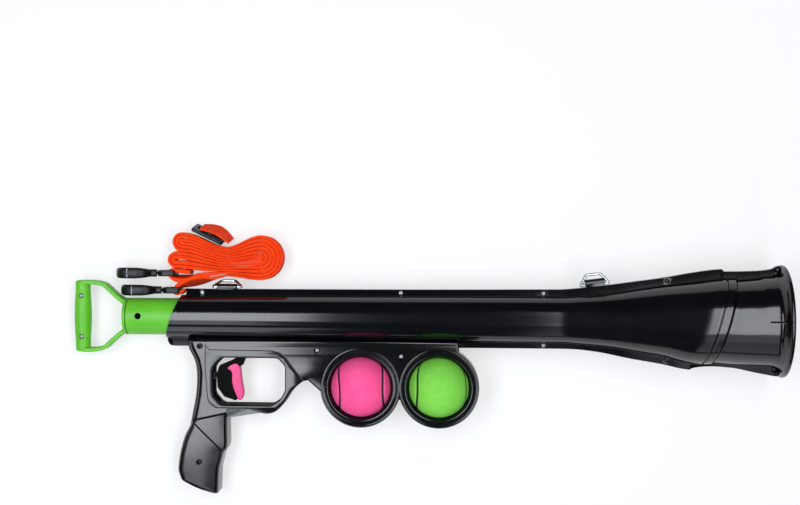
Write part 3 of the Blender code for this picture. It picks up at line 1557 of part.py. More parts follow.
def least_gap(points):
    """Least distance between stretches of the webbing that aren't neighbours, less its thickness."""
    least = WEBBING_WIDTH
    reach = 3 * WEBBING_THICKNESS
    lengths = [0]
    for a, b in zip(points, points[1:]):
        lengths.append(lengths[-1] + math.dist(a, b))
    for i in range(len(points)):
        for j in range(i + 1, len(points) - 1):
            if lengths[j] - lengths[i] < reach or j <= i + 1:
                continue
            a, b = Vector(points[j]), Vector(points[j + 1])
            p = Vector(points[i])
            along = b - a
            share = min(max((p - a).dot(along) / along.length_squared, 0), 1)
            least = min(least, (p - a - along * share).length)
    return least - WEBBING_THICKNESS


def strip(name, low, high, thickness):
    """Webbing: an open strip between a lower and an upper line, given its thickness."""

    def build(shape):
        rows = []
        for a, b in zip(low, high):
            rows.append((shape.verts.new(a), shape.verts.new(b)))
        for (a, b), (c, d) in zip(rows, rows[1:]):
            shape.faces.new((a, c, d, b))

    item = mesh_piece(name, build)
    solid = item.modifiers.new("thickness", "SOLIDIFY")
    solid.thickness = thickness
    solid.offset = 0
    solid.use_even_offset = True
    return item


def end_lift(distance):
    """Height that the webbing rises to, near its ends, where the eyes hold it off the floor."""
    share = (END_LIFT_REACH - distance) / (END_LIFT_REACH - END_LIFT_FULL)
    return eased(0, END_LIFT, min(max(share, 0), 1))


def build_webbing():
    """The folded webbing, one strip standing on its edge on the floor."""
    line = hank_line()
    print("least gap of the webbing to itself, mm:", round(least_gap(line) * 1000, 2))
    length = sum(math.dist(a, b) for a, b in zip(line, line[1:]))
    print("webbing length, m:", round(length, 3), "points:", len(line))
    run = 0
    low = []
    high = []
    for i, (x, y) in enumerate(line):
        if i:
            run += math.dist(line[i - 1], line[i])
        lift = end_lift(min(run, length - run))
        low.append((x, y, lift))
        high.append((x, y, WEBBING_WIDTH + lift))
    webbing = strip("strap_webbing", low, high, WEBBING_THICKNESS)
    place(webbing, STRAP, ORANGE)


def build_slider():
    """The strap's slider and the short loop of webbing beside it."""
    half = 0.5 * SLIDER_LENGTH
    depth = 0.5 * SLIDER_THICKNESS
    frame = add_empty("slider_frame", STRAP, (SLIDER_X, SLIDER_Y, 0), (0, 0, SLIDER_TURN))
    slider = box("strap_slider", (-half, -depth, 0), (half, depth, SLIDER_WIDTH))
    rail = SLIDER_BAR
    gap = 0.5 * (SLIDER_LENGTH - 3 * rail)
    for side in (-1, 1):
        start = side * 0.5 * rail
        end = side * (0.5 * rail + gap)
        window = box(
            "slider_window",
            (min(start, end), -OVERRUN, 0.5 * rail),
            (max(start, end), OVERRUN, SLIDER_WIDTH - 0.5 * rail),
        )
        cut(slider, place(window, frame, None, (0, 0, 0), (SLIDER_LEAN, 0, 0)))
    place(slider, frame, BLACK_MATT, (0, 0, depth * math.sin(SLIDER_LEAN)), (SLIDER_LEAN, 0, 0))
    low = []
    high = []
    for i in range(LOOP_POINTS):
        share = i / (LOOP_POINTS - 1)
        x = LOOP_SHIFT + (share - 0.5) * LOOP_LENGTH
        bulge = LOOP_BULGE * math.sin(math.pi * share)
        base = depth + LOOP_STAND_OFF
        top = base - 0.9 * WEBBING_WIDTH * math.tan(SLIDER_LEAN)
        low.append((x, base + bulge, 0.5 * WEBBING_THICKNESS))
        high.append((x, top + 0.1 * bulge, 0.9 * WEBBING_WIDTH))
    loop = strip("strap_loop", low, high, WEBBING_THICKNESS)
    place(loop, frame, ORANGE)


def build_hook(number, bar):
    """A snap hook standing on edge: eye round the webbing, swivel pin, hook and gate."""
    prefix = f"snap_hook_{number}_"
    frame = add_empty(prefix + "frame", STRAP, (bar[0], bar[1], 0.5 * EYE_HEIGHT))
    half = 0.5 * EYE_HEIGHT
    inner = half - EYE_RAIL
    thick = 0.5 * EYE_THICKNESS
    eye = cylinder(prefix + "eye", EYE_BAR_RADIUS, (0, 0, -half), (0, 0, half), 12)
    place(eye, frame, BLACK_MATT)
    for side in (1, -1):
        rail = box(
            "eye_rail",
            (-EYE_DEPTH, -thick, min(side * inner, side * half)),
            (EYE_BAR_RADIUS, thick, max(side * inner, side * half)),
        )
        join(eye, place(rail, frame))
    block = box(
        "eye_block",
        (-EYE_DEPTH - 2 * EYE_BAR_RADIUS, -thick, -half),
        (-EYE_DEPTH + EYE_RAIL * 0.5, thick, half),
    )
    join(eye, place(block, frame))
    block_end = -EYE_DEPTH - 2 * EYE_BAR_RADIUS
    pin_room = cylinder(
        "eye_pin_room",
        SWIVEL_RADIUS + HOLE_GAP,
        (block_end - OVERRUN, 0, 0),
        (block_end + SWIVEL_REACH + GAP, 0, 0),
    )
    cut(eye, place(pin_room, frame))
    neck = block_end - SWIVEL_REACH
    pin = cylinder(
        prefix + "swivel_pin",
        SWIVEL_RADIUS,
        (neck - HOOK_NECK * 0.5, 0, 0),
        (block_end + SWIVEL_REACH, 0, 0),
    )
    place(smooth(pin), frame, STEEL)
    reach = HOOK_LENGTH + neck + EYE_BAR_RADIUS
    route = [(neck - a * reach, 0, b * HOOK_SPAN) for a, b in HOOK_PATH_SHARES]
    line = rounded_line(route, HOOK_WIRE, 3)
    hook = wire(prefix + "body", line, HOOK_WIRE, 1)
    hole = cylinder(
        "hook_pin_room",
        SWIVEL_RADIUS + HOLE_GAP,
        (neck - HOOK_NECK * 0.5 - GAP, 0, 0),
        (neck + OVERRUN, 0, 0),
    )
    place(smooth(hook), frame, BLACK_MATT)
    cut(hook, place(hole, frame))
    pivot = (neck - GATE_PIVOT_SHARE[0] * reach, 0, GATE_PIVOT_SHARE[1] * HOOK_SPAN - HOOK_WIRE * 0.5)
    tip = (neck - GATE_TIP_SHARE[0] * reach, 0, GATE_TIP_SHARE[1] * HOOK_SPAN)
    gate_frame = add_empty(prefix + "gate_frame", frame, pivot)
    offset = [b - a for a, b in zip(pivot, tip)]
    gate = cylinder(prefix + "gate", GATE_RADIUS, (0, 0, 0), offset, 12)
    place(smooth(gate), gate_frame, STEEL)


def seat_on_floor():
    """Put the origin under the middle of the launcher's box, on the floor."""
    bpy.context.view_layer.update()
    graph = bpy.context.evaluated_depsgraph_get()
    low = Vector((math.inf, math.inf, math.inf))
    high = -low
    for item in PARTS.objects:
        if item.type != "MESH" or is_under(item, STRAP):
            continue
        evaluated = item.evaluated_get(graph)
        for corner in evaluated.data.vertices:
            point = item.matrix_world @ corner.co
            low = Vector(map(min, low, point))
            high = Vector(map(max, high, point))
    shift = Vector((-0.5 * (low.x + high.x), -0.5 * (low.y + high.y), -low.z))
    REST.location = shift
    STRAP.location = (shift.x, shift.y, 0)
    bpy.context.view_layer.update()


def is_under(item, top):
    """Whether a piece hangs under a frame."""
    while item is not None:
        if item == top:
            return True
        item = item.parent
    return False


build_shells()
build_frame()
build_draw_tube()
build_striker()
build_mainspring()
build_handle()
build_trigger()
build_sear()
build_rings()
build_balls()
build_webbing()
build_slider()
build_hook(1, HOOK_ONE_BAR)
build_hook(2, HOOK_TWO_BAR)
seat_on_floor()
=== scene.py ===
"""Looks of the dog ball thrower: a spring launcher on its side, its balls and its folded strap.

Shapes are written in the launcher's own frame (+X to the muzzle, +Y to its top flange, +Z out of its
right side), and then laid in the row's frame. Sizes are in metres.
"""

from __future__ import annotations

import json
import logging
import math
from dataclasses import dataclass
from enum import Enum
from typing import Callable, Iterable, Sequence

import bmesh
import bpy
import numpy as np
from mathutils import Euler, Matrix, Vector

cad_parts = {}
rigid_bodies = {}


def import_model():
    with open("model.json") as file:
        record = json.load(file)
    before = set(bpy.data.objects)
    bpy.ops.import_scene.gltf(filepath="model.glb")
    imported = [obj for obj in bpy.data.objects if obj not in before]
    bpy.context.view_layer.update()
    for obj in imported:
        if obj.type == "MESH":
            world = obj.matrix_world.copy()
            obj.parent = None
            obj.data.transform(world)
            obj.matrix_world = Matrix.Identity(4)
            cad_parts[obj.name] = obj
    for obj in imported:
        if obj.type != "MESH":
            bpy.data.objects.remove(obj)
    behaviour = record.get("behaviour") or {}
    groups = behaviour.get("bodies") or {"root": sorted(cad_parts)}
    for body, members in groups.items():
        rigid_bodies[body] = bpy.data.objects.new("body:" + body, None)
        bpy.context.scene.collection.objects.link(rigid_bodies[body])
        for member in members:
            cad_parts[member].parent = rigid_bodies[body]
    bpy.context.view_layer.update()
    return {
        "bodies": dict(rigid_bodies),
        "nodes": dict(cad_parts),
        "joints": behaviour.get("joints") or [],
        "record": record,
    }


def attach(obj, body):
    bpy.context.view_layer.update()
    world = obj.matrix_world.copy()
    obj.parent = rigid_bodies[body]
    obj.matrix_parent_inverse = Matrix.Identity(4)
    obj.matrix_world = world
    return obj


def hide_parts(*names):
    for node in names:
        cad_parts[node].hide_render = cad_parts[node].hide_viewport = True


log = logging.getLogger("scene")

Point = tuple[float, float, float]
Flat = tuple[float, float]

# How the launcher lies: its lean, its frame and the strap's frame
PITCH = math.atan(0.0352 / 0.631)
ROLL = 0.039497
LYING = Euler((ROLL, -PITCH, 0)).to_matrix().to_4x4()
REST = Matrix.Translation((-0.263235, 0.064425, 0.022914)) @ LYING
STRAP = Matrix.Translation((-0.263235, 0.064425, 0))
STANDING = Matrix.Rotation(math.radians(90), 4, "X")

# Half the parting line between two halves, and the sharpest edge in degrees that is shaded smooth
GAP = 0.00015
SMOOTH = 32.0

# Where the screws sit in the launcher's frame, and the heights of their seats
BARREL_SCREWS = (0.0285, 0.2378, 0.3861)
LOWER_SCREW = 0.3865
SCREW_RISE = 0.0026
BELL_SCREWS = ((0.5124, 0.0411), (0.5124, -0.0411))
MUZZLE_SCREWS = ((0.6228, 0.0494), (0.6228, -0.0494))
FRAME_SCREWS = ((0.028, -0.0299), (0.1511, -0.0336), (0.2387, -0.0392))
GRIP_SCREW = (0.0277, -0.1514)
FLANGE_SEAT, BELL_SEAT, MUZZLE_SEAT, FRAME_SEAT, GRIP_SEAT = 0.0020, 0.0029, 0.0030, 0.0090, 0.0131


# Smooth lines and outlines


@dataclass(frozen=True)
class Taper:
    """A smooth line through (place, value) pairs that never overshoots them."""

    pairs: tuple[Flat, ...]

    def at(self, place: np.ndarray | float) -> np.ndarray:
        """Values at one or many places.

        Args:
            place: where to read the line; past its ends it stays level.

        Returns:
            An array of the values there.
        """
        xs = np.array([p[0] for p in self.pairs])
        ys = np.array([p[1] for p in self.pairs])
        widths = np.diff(xs)
        slopes = np.diff(ys) / widths
        ends = np.zeros(len(xs))
        ends[0], ends[-1] = slopes[0], slopes[-1]
        for i in range(1, len(xs) - 1):
            a, b = slopes[i - 1], slopes[i]
            if a * b > 0:
                wa = 2 * widths[i] + widths[i - 1]
                wb = widths[i] + 2 * widths[i - 1]
                ends[i] = (wa + wb) / (wa / a + wb / b)
        x = np.clip(np.asarray(place, float), xs[0], xs[-1])
        i = np.clip(np.searchsorted(xs, x, side="right") - 1, 0, len(widths) - 1)
        h = widths[i]
        t = (x - xs[i]) / h
        first = (1 + 2 * t) * (1 - t) ** 2 * ys[i] + t * (1 - t) ** 2 * h * ends[i]
        second = t * t * (3 - 2 * t) * ys[i + 1] + t * t * (t - 1) * h * ends[i + 1]
        return first + second


def smooth_step(low: float, high: float, value: np.ndarray | float) -> np.ndarray:
    """Share from 0 at low to 1 at high, level at both ends."""
    t = np.clip((np.asarray(value, float) - low) / (high - low), 0, 1)
    return t * t * (3 - 2 * t)


def rounded(points: Sequence[Flat], radius: float, steps: int = 6) -> list[Flat]:
    """A closed outline with its corners rounded.

    Args:
        points: the corners in order.
        radius: the most that a corner is rounded by.
        steps: points on each corner.

    Returns:
        The points of the rounded outline.
    """
    result: list[Flat] = []
    count = len(points)
    for i in range(count):
        a, b, c = (Vector(points[j % count]) for j in (i - 1, i, i + 1))
        before, after = a - b, c - b
        half = 0.5 * before.angle(after)
        if half > 1.5:
            result.append(tuple(b))
            continue
        reach = min(radius / math.tan(half), 0.48 * before.length, 0.48 * after.length)
        start, end = b + before.normalized() * reach, b + after.normalized() * reach
        for k in range(steps + 1):
            t = k / steps
            result.append(tuple((1 - t) ** 2 * start + 2 * t * (1 - t) * b + t * t * end))
    return result


def flowing(points: Sequence[Sequence[float]], steps: int = 8) -> list[tuple[float, ...]]:
    """A smooth line through points (centripetal Catmull-Rom), ends included."""
    knots = [np.array(p, float) for p in points]
    knots = [2 * knots[0] - knots[1]] + knots + [2 * knots[-1] - knots[-2]]
    line = []
    for p0, p1, p2, p3 in zip(knots, knots[1:], knots[2:], knots[3:]):
        t = [0.0]
        for a, b in ((p0, p1), (p1, p2), (p2, p3)):
            t.append(t[-1] + max(np.linalg.norm(b - a), 1e-9) ** 0.5)
        for k in range(steps):
            s = t[1] + (t[2] - t[1]) * k / steps
            a1 = (t[1] - s) / (t[1] - t[0]) * p0 + (s - t[0]) / (t[1] - t[0]) * p1
            a2 = (t[2] - s) / (t[2] - t[1]) * p1 + (s - t[1]) / (t[2] - t[1]) * p2
            a3 = (t[3] - s) / (t[3] - t[2]) * p2 + (s - t[2]) / (t[3] - t[2]) * p3
            b1 = (t[2] - s) / (t[2] - t[0]) * a1 + (s - t[0]) / (t[2] - t[0]) * a2
            b2 = (t[3] - s) / (t[3] - t[1]) * a2 + (s - t[1]) / (t[3] - t[1]) * a3
            line.append(tuple((t[2] - s) / (t[2] - t[1]) * b1 + (s - t[1]) / (t[2] - t[1]) * b2))
    line.append(tuple(knots[-2]))
    return line


def line_length(line: Sequence[Flat]) -> float:
    """Length of a line of points."""
    return sum(math.dist(a, b) for a, b in zip(line, line[1:]))


def arc(centre: Flat, radius: float, start: float, end: float, count: int) -> list[Flat]:
    """Points on an arc, ends included."""
    angles = np.linspace(start, end, count)
    return [(centre[0] + radius * math.cos(a), centre[1] + radius * math.sin(a)) for a in angles]


# Meshes


def linked(name: str, data: bpy.types.ID) -> bpy.types.Object:
    """A new object of the scene that holds the data."""
    item = bpy.data.objects.new(name, data)
    bpy.context.scene.collection.objects.link(item)
    return item


def moved(item: bpy.types.Object, *steps: Matrix) -> bpy.types.Object:
    """Move an object's corners by each matrix in turn."""
    for step in steps:
        item.data.transform(step)
    return item


def worked_out(item: bpy.types.Object) -> bpy.types.Mesh:
    """The mesh that an object's curve or modifier gives."""
    bpy.context.view_layer.update()
    return bpy.data.meshes.new_from_object(item.evaluated_get(bpy.context.evaluated_depsgraph_get()))


def shaded(item: bpy.types.Object, angle: float) -> bpy.types.Object:
    """Shade an object smooth between edges sharper than an angle in degrees."""
    item.data.shade_smooth()
    item.data.set_sharp_from_angle(angle=math.radians(angle))
    return item


def tidied(item: bpy.types.Object, angle: float) -> bpy.types.Object:
    """Weld an object's corners, turn its faces outwards and shade it."""
    shape = bmesh.new()
    shape.from_mesh(item.data)
    bmesh.ops.remove_doubles(shape, verts=shape.verts, dist=2e-7)
    bmesh.ops.dissolve_degenerate(shape, edges=shape.edges, dist=1e-7)
    bmesh.ops.recalc_face_normals(shape, faces=shape.faces)
    shape.to_mesh(item.data)
    shape.free()
    return shaded(item, angle)


def from_shape(name: str, shape: bmesh.types.BMesh) -> bpy.types.Object:
    """The object that a bmesh makes; the bmesh is given up."""
    mesh = bpy.data.meshes.new(name)
    shape.to_mesh(mesh)
    shape.free()
    return linked(name, mesh)


def from_faces(name: str, corners: Iterable, faces: Iterable, angle: float = SMOOTH) -> bpy.types.Object:
    """An object made of corners and faces."""
    mesh = bpy.data.meshes.new(name)
    mesh.from_pydata([tuple(c) for c in corners], [], [tuple(f) for f in faces])
    return tidied(linked(name, mesh), angle)


def grid(rows: int, count: int, turned: bool = False) -> list[tuple[int, ...]]:
    """Faces between closed rows of count corners; turned joins the last row to the first."""
    faces = []
    for i in range(rows if turned else rows - 1):
        n = (i + 1) % rows
        for j in range(count):
            k = (j + 1) % count
            faces.append((i * count + j, i * count + k, n * count + k, n * count + j))
    return faces


def loft(name: str, rings: Sequence[np.ndarray], angle: float = SMOOTH) -> bpy.types.Object:
    """A skin over closed rings of equal count, with flat ends."""
    count = len(rings[0])
    last = (len(rings) - 1) * count
    caps = [tuple(range(count)), tuple(range(last, last + count))]
    return from_faces(name, np.concatenate(rings), grid(len(rings), count) + caps, angle)


def lathe(
    name: str, profile: Sequence[Flat], steps: int = 72, axis: str = "X", angle: float = SMOOTH
) -> bpy.types.Object:
    """A closed profile of (along, radius) points turned round an axis."""
    corners = []
    for along, radius in profile:
        for a in np.linspace(0, 2 * math.pi, steps, endpoint=False):
            u, v = radius * math.cos(a), radius * math.sin(a)
            corners.append({"X": (along, u, v), "Y": (v, along, u), "Z": (u, v, along)}[axis])
    return from_faces(name, corners, grid(len(profile), steps, True), angle)


def sweep(
    name: str, path: Sequence[Flat], section: Callable[[float], Sequence[Flat]], angle: float = SMOOTH
) -> bpy.types.Object:
    """A closed section carried along a flat path; section(share) gives (across, up) points."""
    line = [Vector(p) for p in path]
    rings = []
    for i, p in enumerate(line):
        ahead = (line[min(i + 1, len(line) - 1)] - line[max(i - 1, 0)]).normalized()
        side = Vector((-ahead.y, ahead.x))
        points = section(i / (len(line) - 1))
        rings.append(np.array([(p.x + side.x * a, p.y + side.y * a, b) for a, b in points]))
    return loft(name, rings, angle)


def curved(name: str, lines: Sequence[Sequence], closed: bool, **settings: object) -> bpy.types.Object:
    """The mesh of a curve.

    Args:
        name: the object's name.
        lines: the points of each of its lines, flat or in space.
        closed: whether the lines are closed.
        settings: the curve's own settings.

    Returns:
        The mesh object.
    """
    curve = bpy.data.curves.new(name, "CURVE")
    for key, value in settings.items():
        setattr(curve, key, value)
    for line in lines:
        spline = curve.splines.new("POLY")
        spline.points.add(len(line) - 1)
        for point, place in zip(spline.points, line):
            point.co = (*place, *(0,) * (3 - len(place)), 1)
        spline.use_cyclic_u = closed
    holder = linked(name + "_curve", curve)
    mesh = worked_out(holder)
    bpy.data.objects.remove(holder)
    return tidied(linked(name, mesh), SMOOTH)


def wire(name: str, points: Sequence[Point], radius: float, sides: int) -> bpy.types.Object:
    """A round wire along points, with closed ends."""
    return curved(
        name, [points], False,
        dimensions="3D", fill_mode="FULL", bevel_depth=radius, bevel_resolution=sides, use_fill_caps=True,
    )


def plate(
    name: str,
    outline: Sequence[Flat],
    half: float,
    edge: float = 0.0,
    holes: Sequence[Sequence[Flat]] = (),
    segments: int = 0,
    middle: float = 0.0,
) -> bpy.types.Object:
    """A flat plate with rounded edges and holes.

    Args:
        name: the object's name.
        outline: the outer line.
        half: half of its thickness.
        edge: how far its edges are rounded.
        holes: lines of the holes through it.
        segments: steps of the rounding.
        middle: height of its middle.

    Returns:
        The plate as a mesh object.
    """
    item = curved(
        name, [outline, *holes], True,
        dimensions="2D", fill_mode="BOTH", extrude=half - edge, bevel_depth=edge, bevel_resolution=segments,
        offset=-edge,
    )
    return moved(item, Matrix.Translation((0, 0, middle)))


def box(name: str, low: Flat, high: Flat, half: float) -> bpy.types.Object:
    """A plain block between two corners, half thick on each side of the parting plane."""
    (x0, y0), (x1, y1) = low, high
    return plate(name, [(x0, y0), (x1, y0), (x1, y1), (x0, y1)], half)


def ball_shape(name: str, radius: float, rings: int) -> bpy.types.Object:
    """A round body of even patches."""
    shape = bmesh.new()
    bmesh.ops.create_icosphere(shape, subdivisions=rings, radius=radius)
    item = from_shape(name, shape)
    item.data.shade_smooth()
    return item


def merged(name: str, items: Sequence[bpy.types.Object]) -> bpy.types.Object:
    """Several shapes as one object, each keeping its shading."""
    shape = bmesh.new()
    for item in items:
        shape.from_mesh(item.data)
        bpy.data.objects.remove(item)
    return from_shape(name, shape)


def carved(item: bpy.types.Object, cutters: Sequence[bpy.types.Object], angle: float) -> bpy.types.Object:
    """Take cutters that don't meet each other out of a shape."""
    tool = merged(item.name + "_tool", cutters)
    modifier = item.modifiers.new("carve", "BOOLEAN")
    modifier.operation = "DIFFERENCE"
    modifier.solver = "EXACT"
    modifier.object = tool
    mesh = worked_out(item)
    item.modifiers.clear()
    item.data = mesh
    bpy.data.objects.remove(tool)
    return shaded(item, angle)


def half_of(item: bpy.types.Object, name: str, side: int) -> bpy.types.Object:
    """A copy of a shape cut at the parting plane, on the +Z side (1) or the -Z side (-1)."""
    mesh = item.data.copy()
    shape = bmesh.new()
    shape.from_mesh(mesh)
    everything = list(shape.verts) + list(shape.edges) + list(shape.faces)
    cut = bmesh.ops.bisect_plane(
        shape, geom=everything, plane_co=(0, 0, side * GAP), plane_no=(0, 0, -side), clear_outer=True
    )
    edges = [e for e in cut["geom_cut"] if isinstance(e, bmesh.types.BMEdge)]
    bmesh.ops.triangle_fill(shape, use_beauty=True, use_dissolve=False, edges=edges)
    shape.to_mesh(mesh)
    shape.free()
    return tidied(linked(name, mesh), SMOOTH)


def rod(radius: float, start: Point, end: Point, steps: int = 40) -> bpy.types.Object:
    """A plain round bar between two points."""
    a, b = Vector(start), Vector(end)
    shape = bmesh.new()
    turn = Vector((0, 0, 1)).rotation_difference(b - a).to_matrix().to_4x4()
    bmesh.ops.create_cone(
        shape, cap_ends=True, segments=steps, radius1=radius, radius2=radius,
        depth=(b - a).length, matrix=Matrix.Translation(0.5 * (a + b)) @ turn,
    )
    return from_shape("rod", shape)


def upright_rod(radius: float, place: Flat, low: float, high: float) -> bpy.types.Object:
    """A plain round bar along Z."""
    return rod(radius, (*place, low), (*place, high))


def seat(
    item: bpy.types.Object,
    body: str,
    material: bpy.types.Material,
    stands_for: Sequence[str] = (),
    slot: str | None = None,
    place: Matrix = REST,
) -> bpy.types.Object:
    """Lay a shape in the row's frame, give it its finish and hand it to a body.

    Args:
        item: the shape, in its own frame.
        body: the body that it moves with.
        material: its finish.
        stands_for: the nodes that it replaces.
        slot: the record's material slot; not used.
        place: where its frame lies.

    Returns:
        The same object.
    """
    moved(item, place)
    item.data.materials.clear()
    item.data.materials.append(material)
    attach(item, body)
    if stands_for:
        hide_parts(*stands_for)
    log.info("%s: %d corners", item.name, len(item.data.vertices))
    return item


# Finishes


class Socket:
    """An output of a node that takes part in sums written as plain Python."""

    def __init__(self, graph: "Graph", output: bpy.types.NodeSocket) -> None:
        """Keep the graph and the output."""
        self.graph = graph
        self.output = output

    def _math(self, operation: str, *values: "Socket | float", clamp: bool = False) -> "Socket":
        """A Math node over values."""
        settings = {"operation": operation, "use_clamp": clamp}
        return self.graph.node("ShaderNodeMath", settings, dict(enumerate(values)))

    def __add__(self, other: "Socket | float") -> "Socket":
        """Sum."""
        return self._math("ADD", self, other)

    def __radd__(self, other: float) -> "Socket":
        """Sum with a number in front."""
        return self._math("ADD", other, self)

    def __sub__(self, other: "Socket | float") -> "Socket":
        """Difference."""
        return self._math("SUBTRACT", self, other)

    def __rsub__(self, other: float) -> "Socket":
        """Difference with a number in front."""
        return self._math("SUBTRACT", other, self)

    def __mul__(self, other: "Socket | float") -> "Socket":
        """Product."""
        return self._math("MULTIPLY", self, other)

    def __rmul__(self, other: float) -> "Socket":
        """Product with a number in front."""
        return self._math("MULTIPLY", other, self)

    def __truediv__(self, other: "Socket | float") -> "Socket":
        """Quotient."""
        return self._math("DIVIDE", self, other)

    def __rtruediv__(self, other: float) -> "Socket":
        """Quotient with a number in front."""
        return self._math("DIVIDE", other, self)

    def sine(self) -> "Socket":
        """Sine of the value in radians."""
        return self._math("SINE", self)

    def size(self) -> "Socket":
        """The value without its sign."""
        return self._math("ABSOLUTE", self)

    def wrapped(self, span: float) -> "Socket":
        """The value's place between 0 and span, over and over."""
        return self._math("WRAP", self, span, 0.0)

    def most(self, other: "Socket | float") -> "Socket":
        """The larger of two values."""
        return self._math("MAXIMUM", self, other)

    def ramp(self, low: float, high: float) -> "Socket":
        """Share from 0 at low to 1 at high, smooth at both ends."""
        settings = {"interpolation_type": "SMOOTHSTEP"}
        return self.graph.node("ShaderNodeMapRange", settings, {0: self, 1: low, 2: high, 3: 0.0, 4: 1.0})


class Graph:
    """The node tree of one material."""

    def __init__(self, name: str) -> None:
        """Make a material with only its principled shader and its output."""
        self.material = bpy.data.materials.new(name)
        self.material.use_nodes = True
        self.tree = self.material.node_tree
        self.tree.nodes.clear()
        self.shader = self.tree.nodes.new("ShaderNodeBsdfPrincipled")
        self.end = self.tree.nodes.new("ShaderNodeOutputMaterial")
        self.tree.links.new(self.shader.outputs[0], self.end.inputs[0])

    def node(
        self,
        kind: str,
        settings: dict[str, object] | None = None,
        sockets: dict[int | str, object] | None = None,
        output: int | str = 0,
    ) -> Socket:
        """Add a node.

        Args:
            kind: the node's type.
            settings: values of its properties.
            sockets: values or links of its inputs.
            output: which of its outputs is wanted.

        Returns:
            That output.
        """
        made = self.tree.nodes.new(kind)
        for key, value in (settings or {}).items():
            setattr(made, key, value)
        for key, value in (sockets or {}).items():
            self.feed(made.inputs[key], value)
        return Socket(self, made.outputs[output])

    def feed(self, entry: bpy.types.NodeSocket, value: object) -> None:
        """Link a socket to an input, or write a value on it."""
        if isinstance(value, Socket):
            self.tree.links.new(value.output, entry)
        else:
            entry.default_value = value

    def set(self, **values: object) -> None:
        """Write or link inputs of the principled shader; an underscore stands for a space."""
        for key, value in values.items():
            self.feed(self.shader.inputs[key.replace("_", " ")], value)

    def place(self) -> Socket:
        """Where a point lies on the piece, in metres."""
        return self.node("ShaderNodeTexCoord", output="Object")

    def uv(self) -> Socket:
        """The piece's own flat coordinates."""
        return self.node("ShaderNodeTexCoord", output="UV")

    def parts(self, vector: Socket) -> tuple[Socket, Socket, Socket]:
        """The three parts of a vector."""
        x = self.node("ShaderNodeSeparateXYZ", sockets={0: vector})
        outs = x.output.node.outputs
        return x, Socket(self, outs[1]), Socket(self, outs[2])

    def stretched(self, vector: Socket, scale: Point) -> Socket:
        """A vector times a scale on each axis."""
        return self.node("ShaderNodeVectorMath", {"operation": "MULTIPLY"}, {0: vector, 1: scale})

    def noise(
        self, size: float, detail: float = 3, rough: float = 0.5, vector: Socket | None = None
    ) -> Socket:
        """Noise whose blobs are about size metres wide."""
        where = vector or self.place()
        return self.node(
            "ShaderNodeTexNoise", {"noise_dimensions": "3D"},
            {"Vector": where, "Scale": 1 / size, "Detail": detail, "Roughness": rough},
        )

    def edges(self, reach: float) -> Socket:
        """Share that is 1 on outer edges and 0 on flat faces."""
        bevel = self.node("ShaderNodeBevel", {"samples": 4}, {0: reach})
        true = self.node("ShaderNodeNewGeometry", output="Normal")
        dot = self.node("ShaderNodeVectorMath", {"operation": "DOT_PRODUCT"}, {0: bevel, 1: true}, "Value")
        return (1 - dot).ramp(0.01, 0.12)

    def mixed(self, share: Socket | float, first: object, second: object) -> Socket:
        """A colour between two others."""
        sockets = {0: share, 6: colour(first), 7: colour(second)}
        return self.node("ShaderNodeMix", {"data_type": "RGBA"}, sockets, 2)

    def bump(
        self, height: Socket, depth: float, strength: float = 1.0, normal: Socket | None = None
    ) -> Socket:
        """A bumped normal; depth is in metres for a height of 1."""
        sockets: dict[int | str, object] = {"Strength": strength, "Distance": depth, "Height": height}
        if normal is not None:
            sockets["Normal"] = normal
        return self.node("ShaderNodeBump", sockets=sockets)


def colour(value: object) -> object:
    """A colour socket's value, from a #rrggbb text or as it is."""
    if not isinstance(value, str):
        return value
    parts = [int(value[i:i + 2], 16) / 255 for i in (1, 3, 5)]
    linear = [c / 12.92 if c <= 0.04045 else ((c + 0.055) / 1.055) ** 2.4 for c in parts]
    return (*linear, 1.0)


@dataclass(frozen=True)
class Moulded:
    """Moulded plastic: faint flow colour, skin texture, small scuffs and worn edges."""

    name: str
    shade: str
    shade_low: str
    edge: str
    roughness: float
    spread: float = 0.05
    grain: float = 0.0006
    grain_depth: float = 0.000004
    waves: float = 0.00001
    wear: float = 0.35
    coat: float = 0.0
    specular: float = 0.5

    def make(self) -> bpy.types.Material:
        """Build the finish.

        Returns:
            The material.
        """
        g = Graph(self.name)
        flow = g.noise(0.045, 4, 0.55)
        speck = g.noise(0.0022, 2, 0.6)
        tone = g.mixed(flow.ramp(0.35, 0.68), self.shade_low, self.shade)
        scuff = g.noise(0.006, 6, 0.75).ramp(0.66, 0.84)
        worn = g.edges(0.0006) * g.noise(0.008, 4, 0.7).ramp(0.35, 0.7) * self.wear
        g.set(Base_Color=g.mixed(worn, tone, self.edge))
        g.set(Roughness=self.roughness + (flow - 0.5) * self.spread + speck * self.spread * 0.4
              + scuff * self.spread * 1.5 + worn * 0.12)
        skin = g.bump(g.noise(self.grain, 2, 0.6), self.grain_depth)
        g.set(Normal=g.bump(g.noise(0.014, 2, 0.5), self.waves, 1.0, skin))
        g.set(Specular_IOR_Level=self.specular, Coat_Weight=self.coat, Coat_Roughness=0.06)
        return g.material


@dataclass(frozen=True)
class Plated:
    """Metal: fine drawn lines, cloudy sheen and small dull spots."""

    name: str
    shade: str
    shade_low: str
    roughness: float
    lines: float = 0.00035

    def make(self) -> bpy.types.Material:
        """Build the finish.

        Returns:
            The material.
        """
        g = Graph(self.name)
        cloud = g.noise(0.006, 4, 0.6)
        spots = g.noise(0.0011, 3, 0.7).ramp(0.62, 0.8)
        drawn = g.noise(1.0, 2, 0.5, g.stretched(g.place(), (1 / 0.006, 1 / self.lines, 1 / self.lines)))
        g.set(Base_Color=g.mixed(cloud.ramp(0.3, 0.7) - spots * 0.5, self.shade_low, self.shade))
        g.set(Roughness=self.roughness + (cloud - 0.5) * 0.12 + spots * 0.15)
        g.set(Metallic=1 - spots * 0.12, Normal=g.bump(drawn, 0.000012))
        return g.material


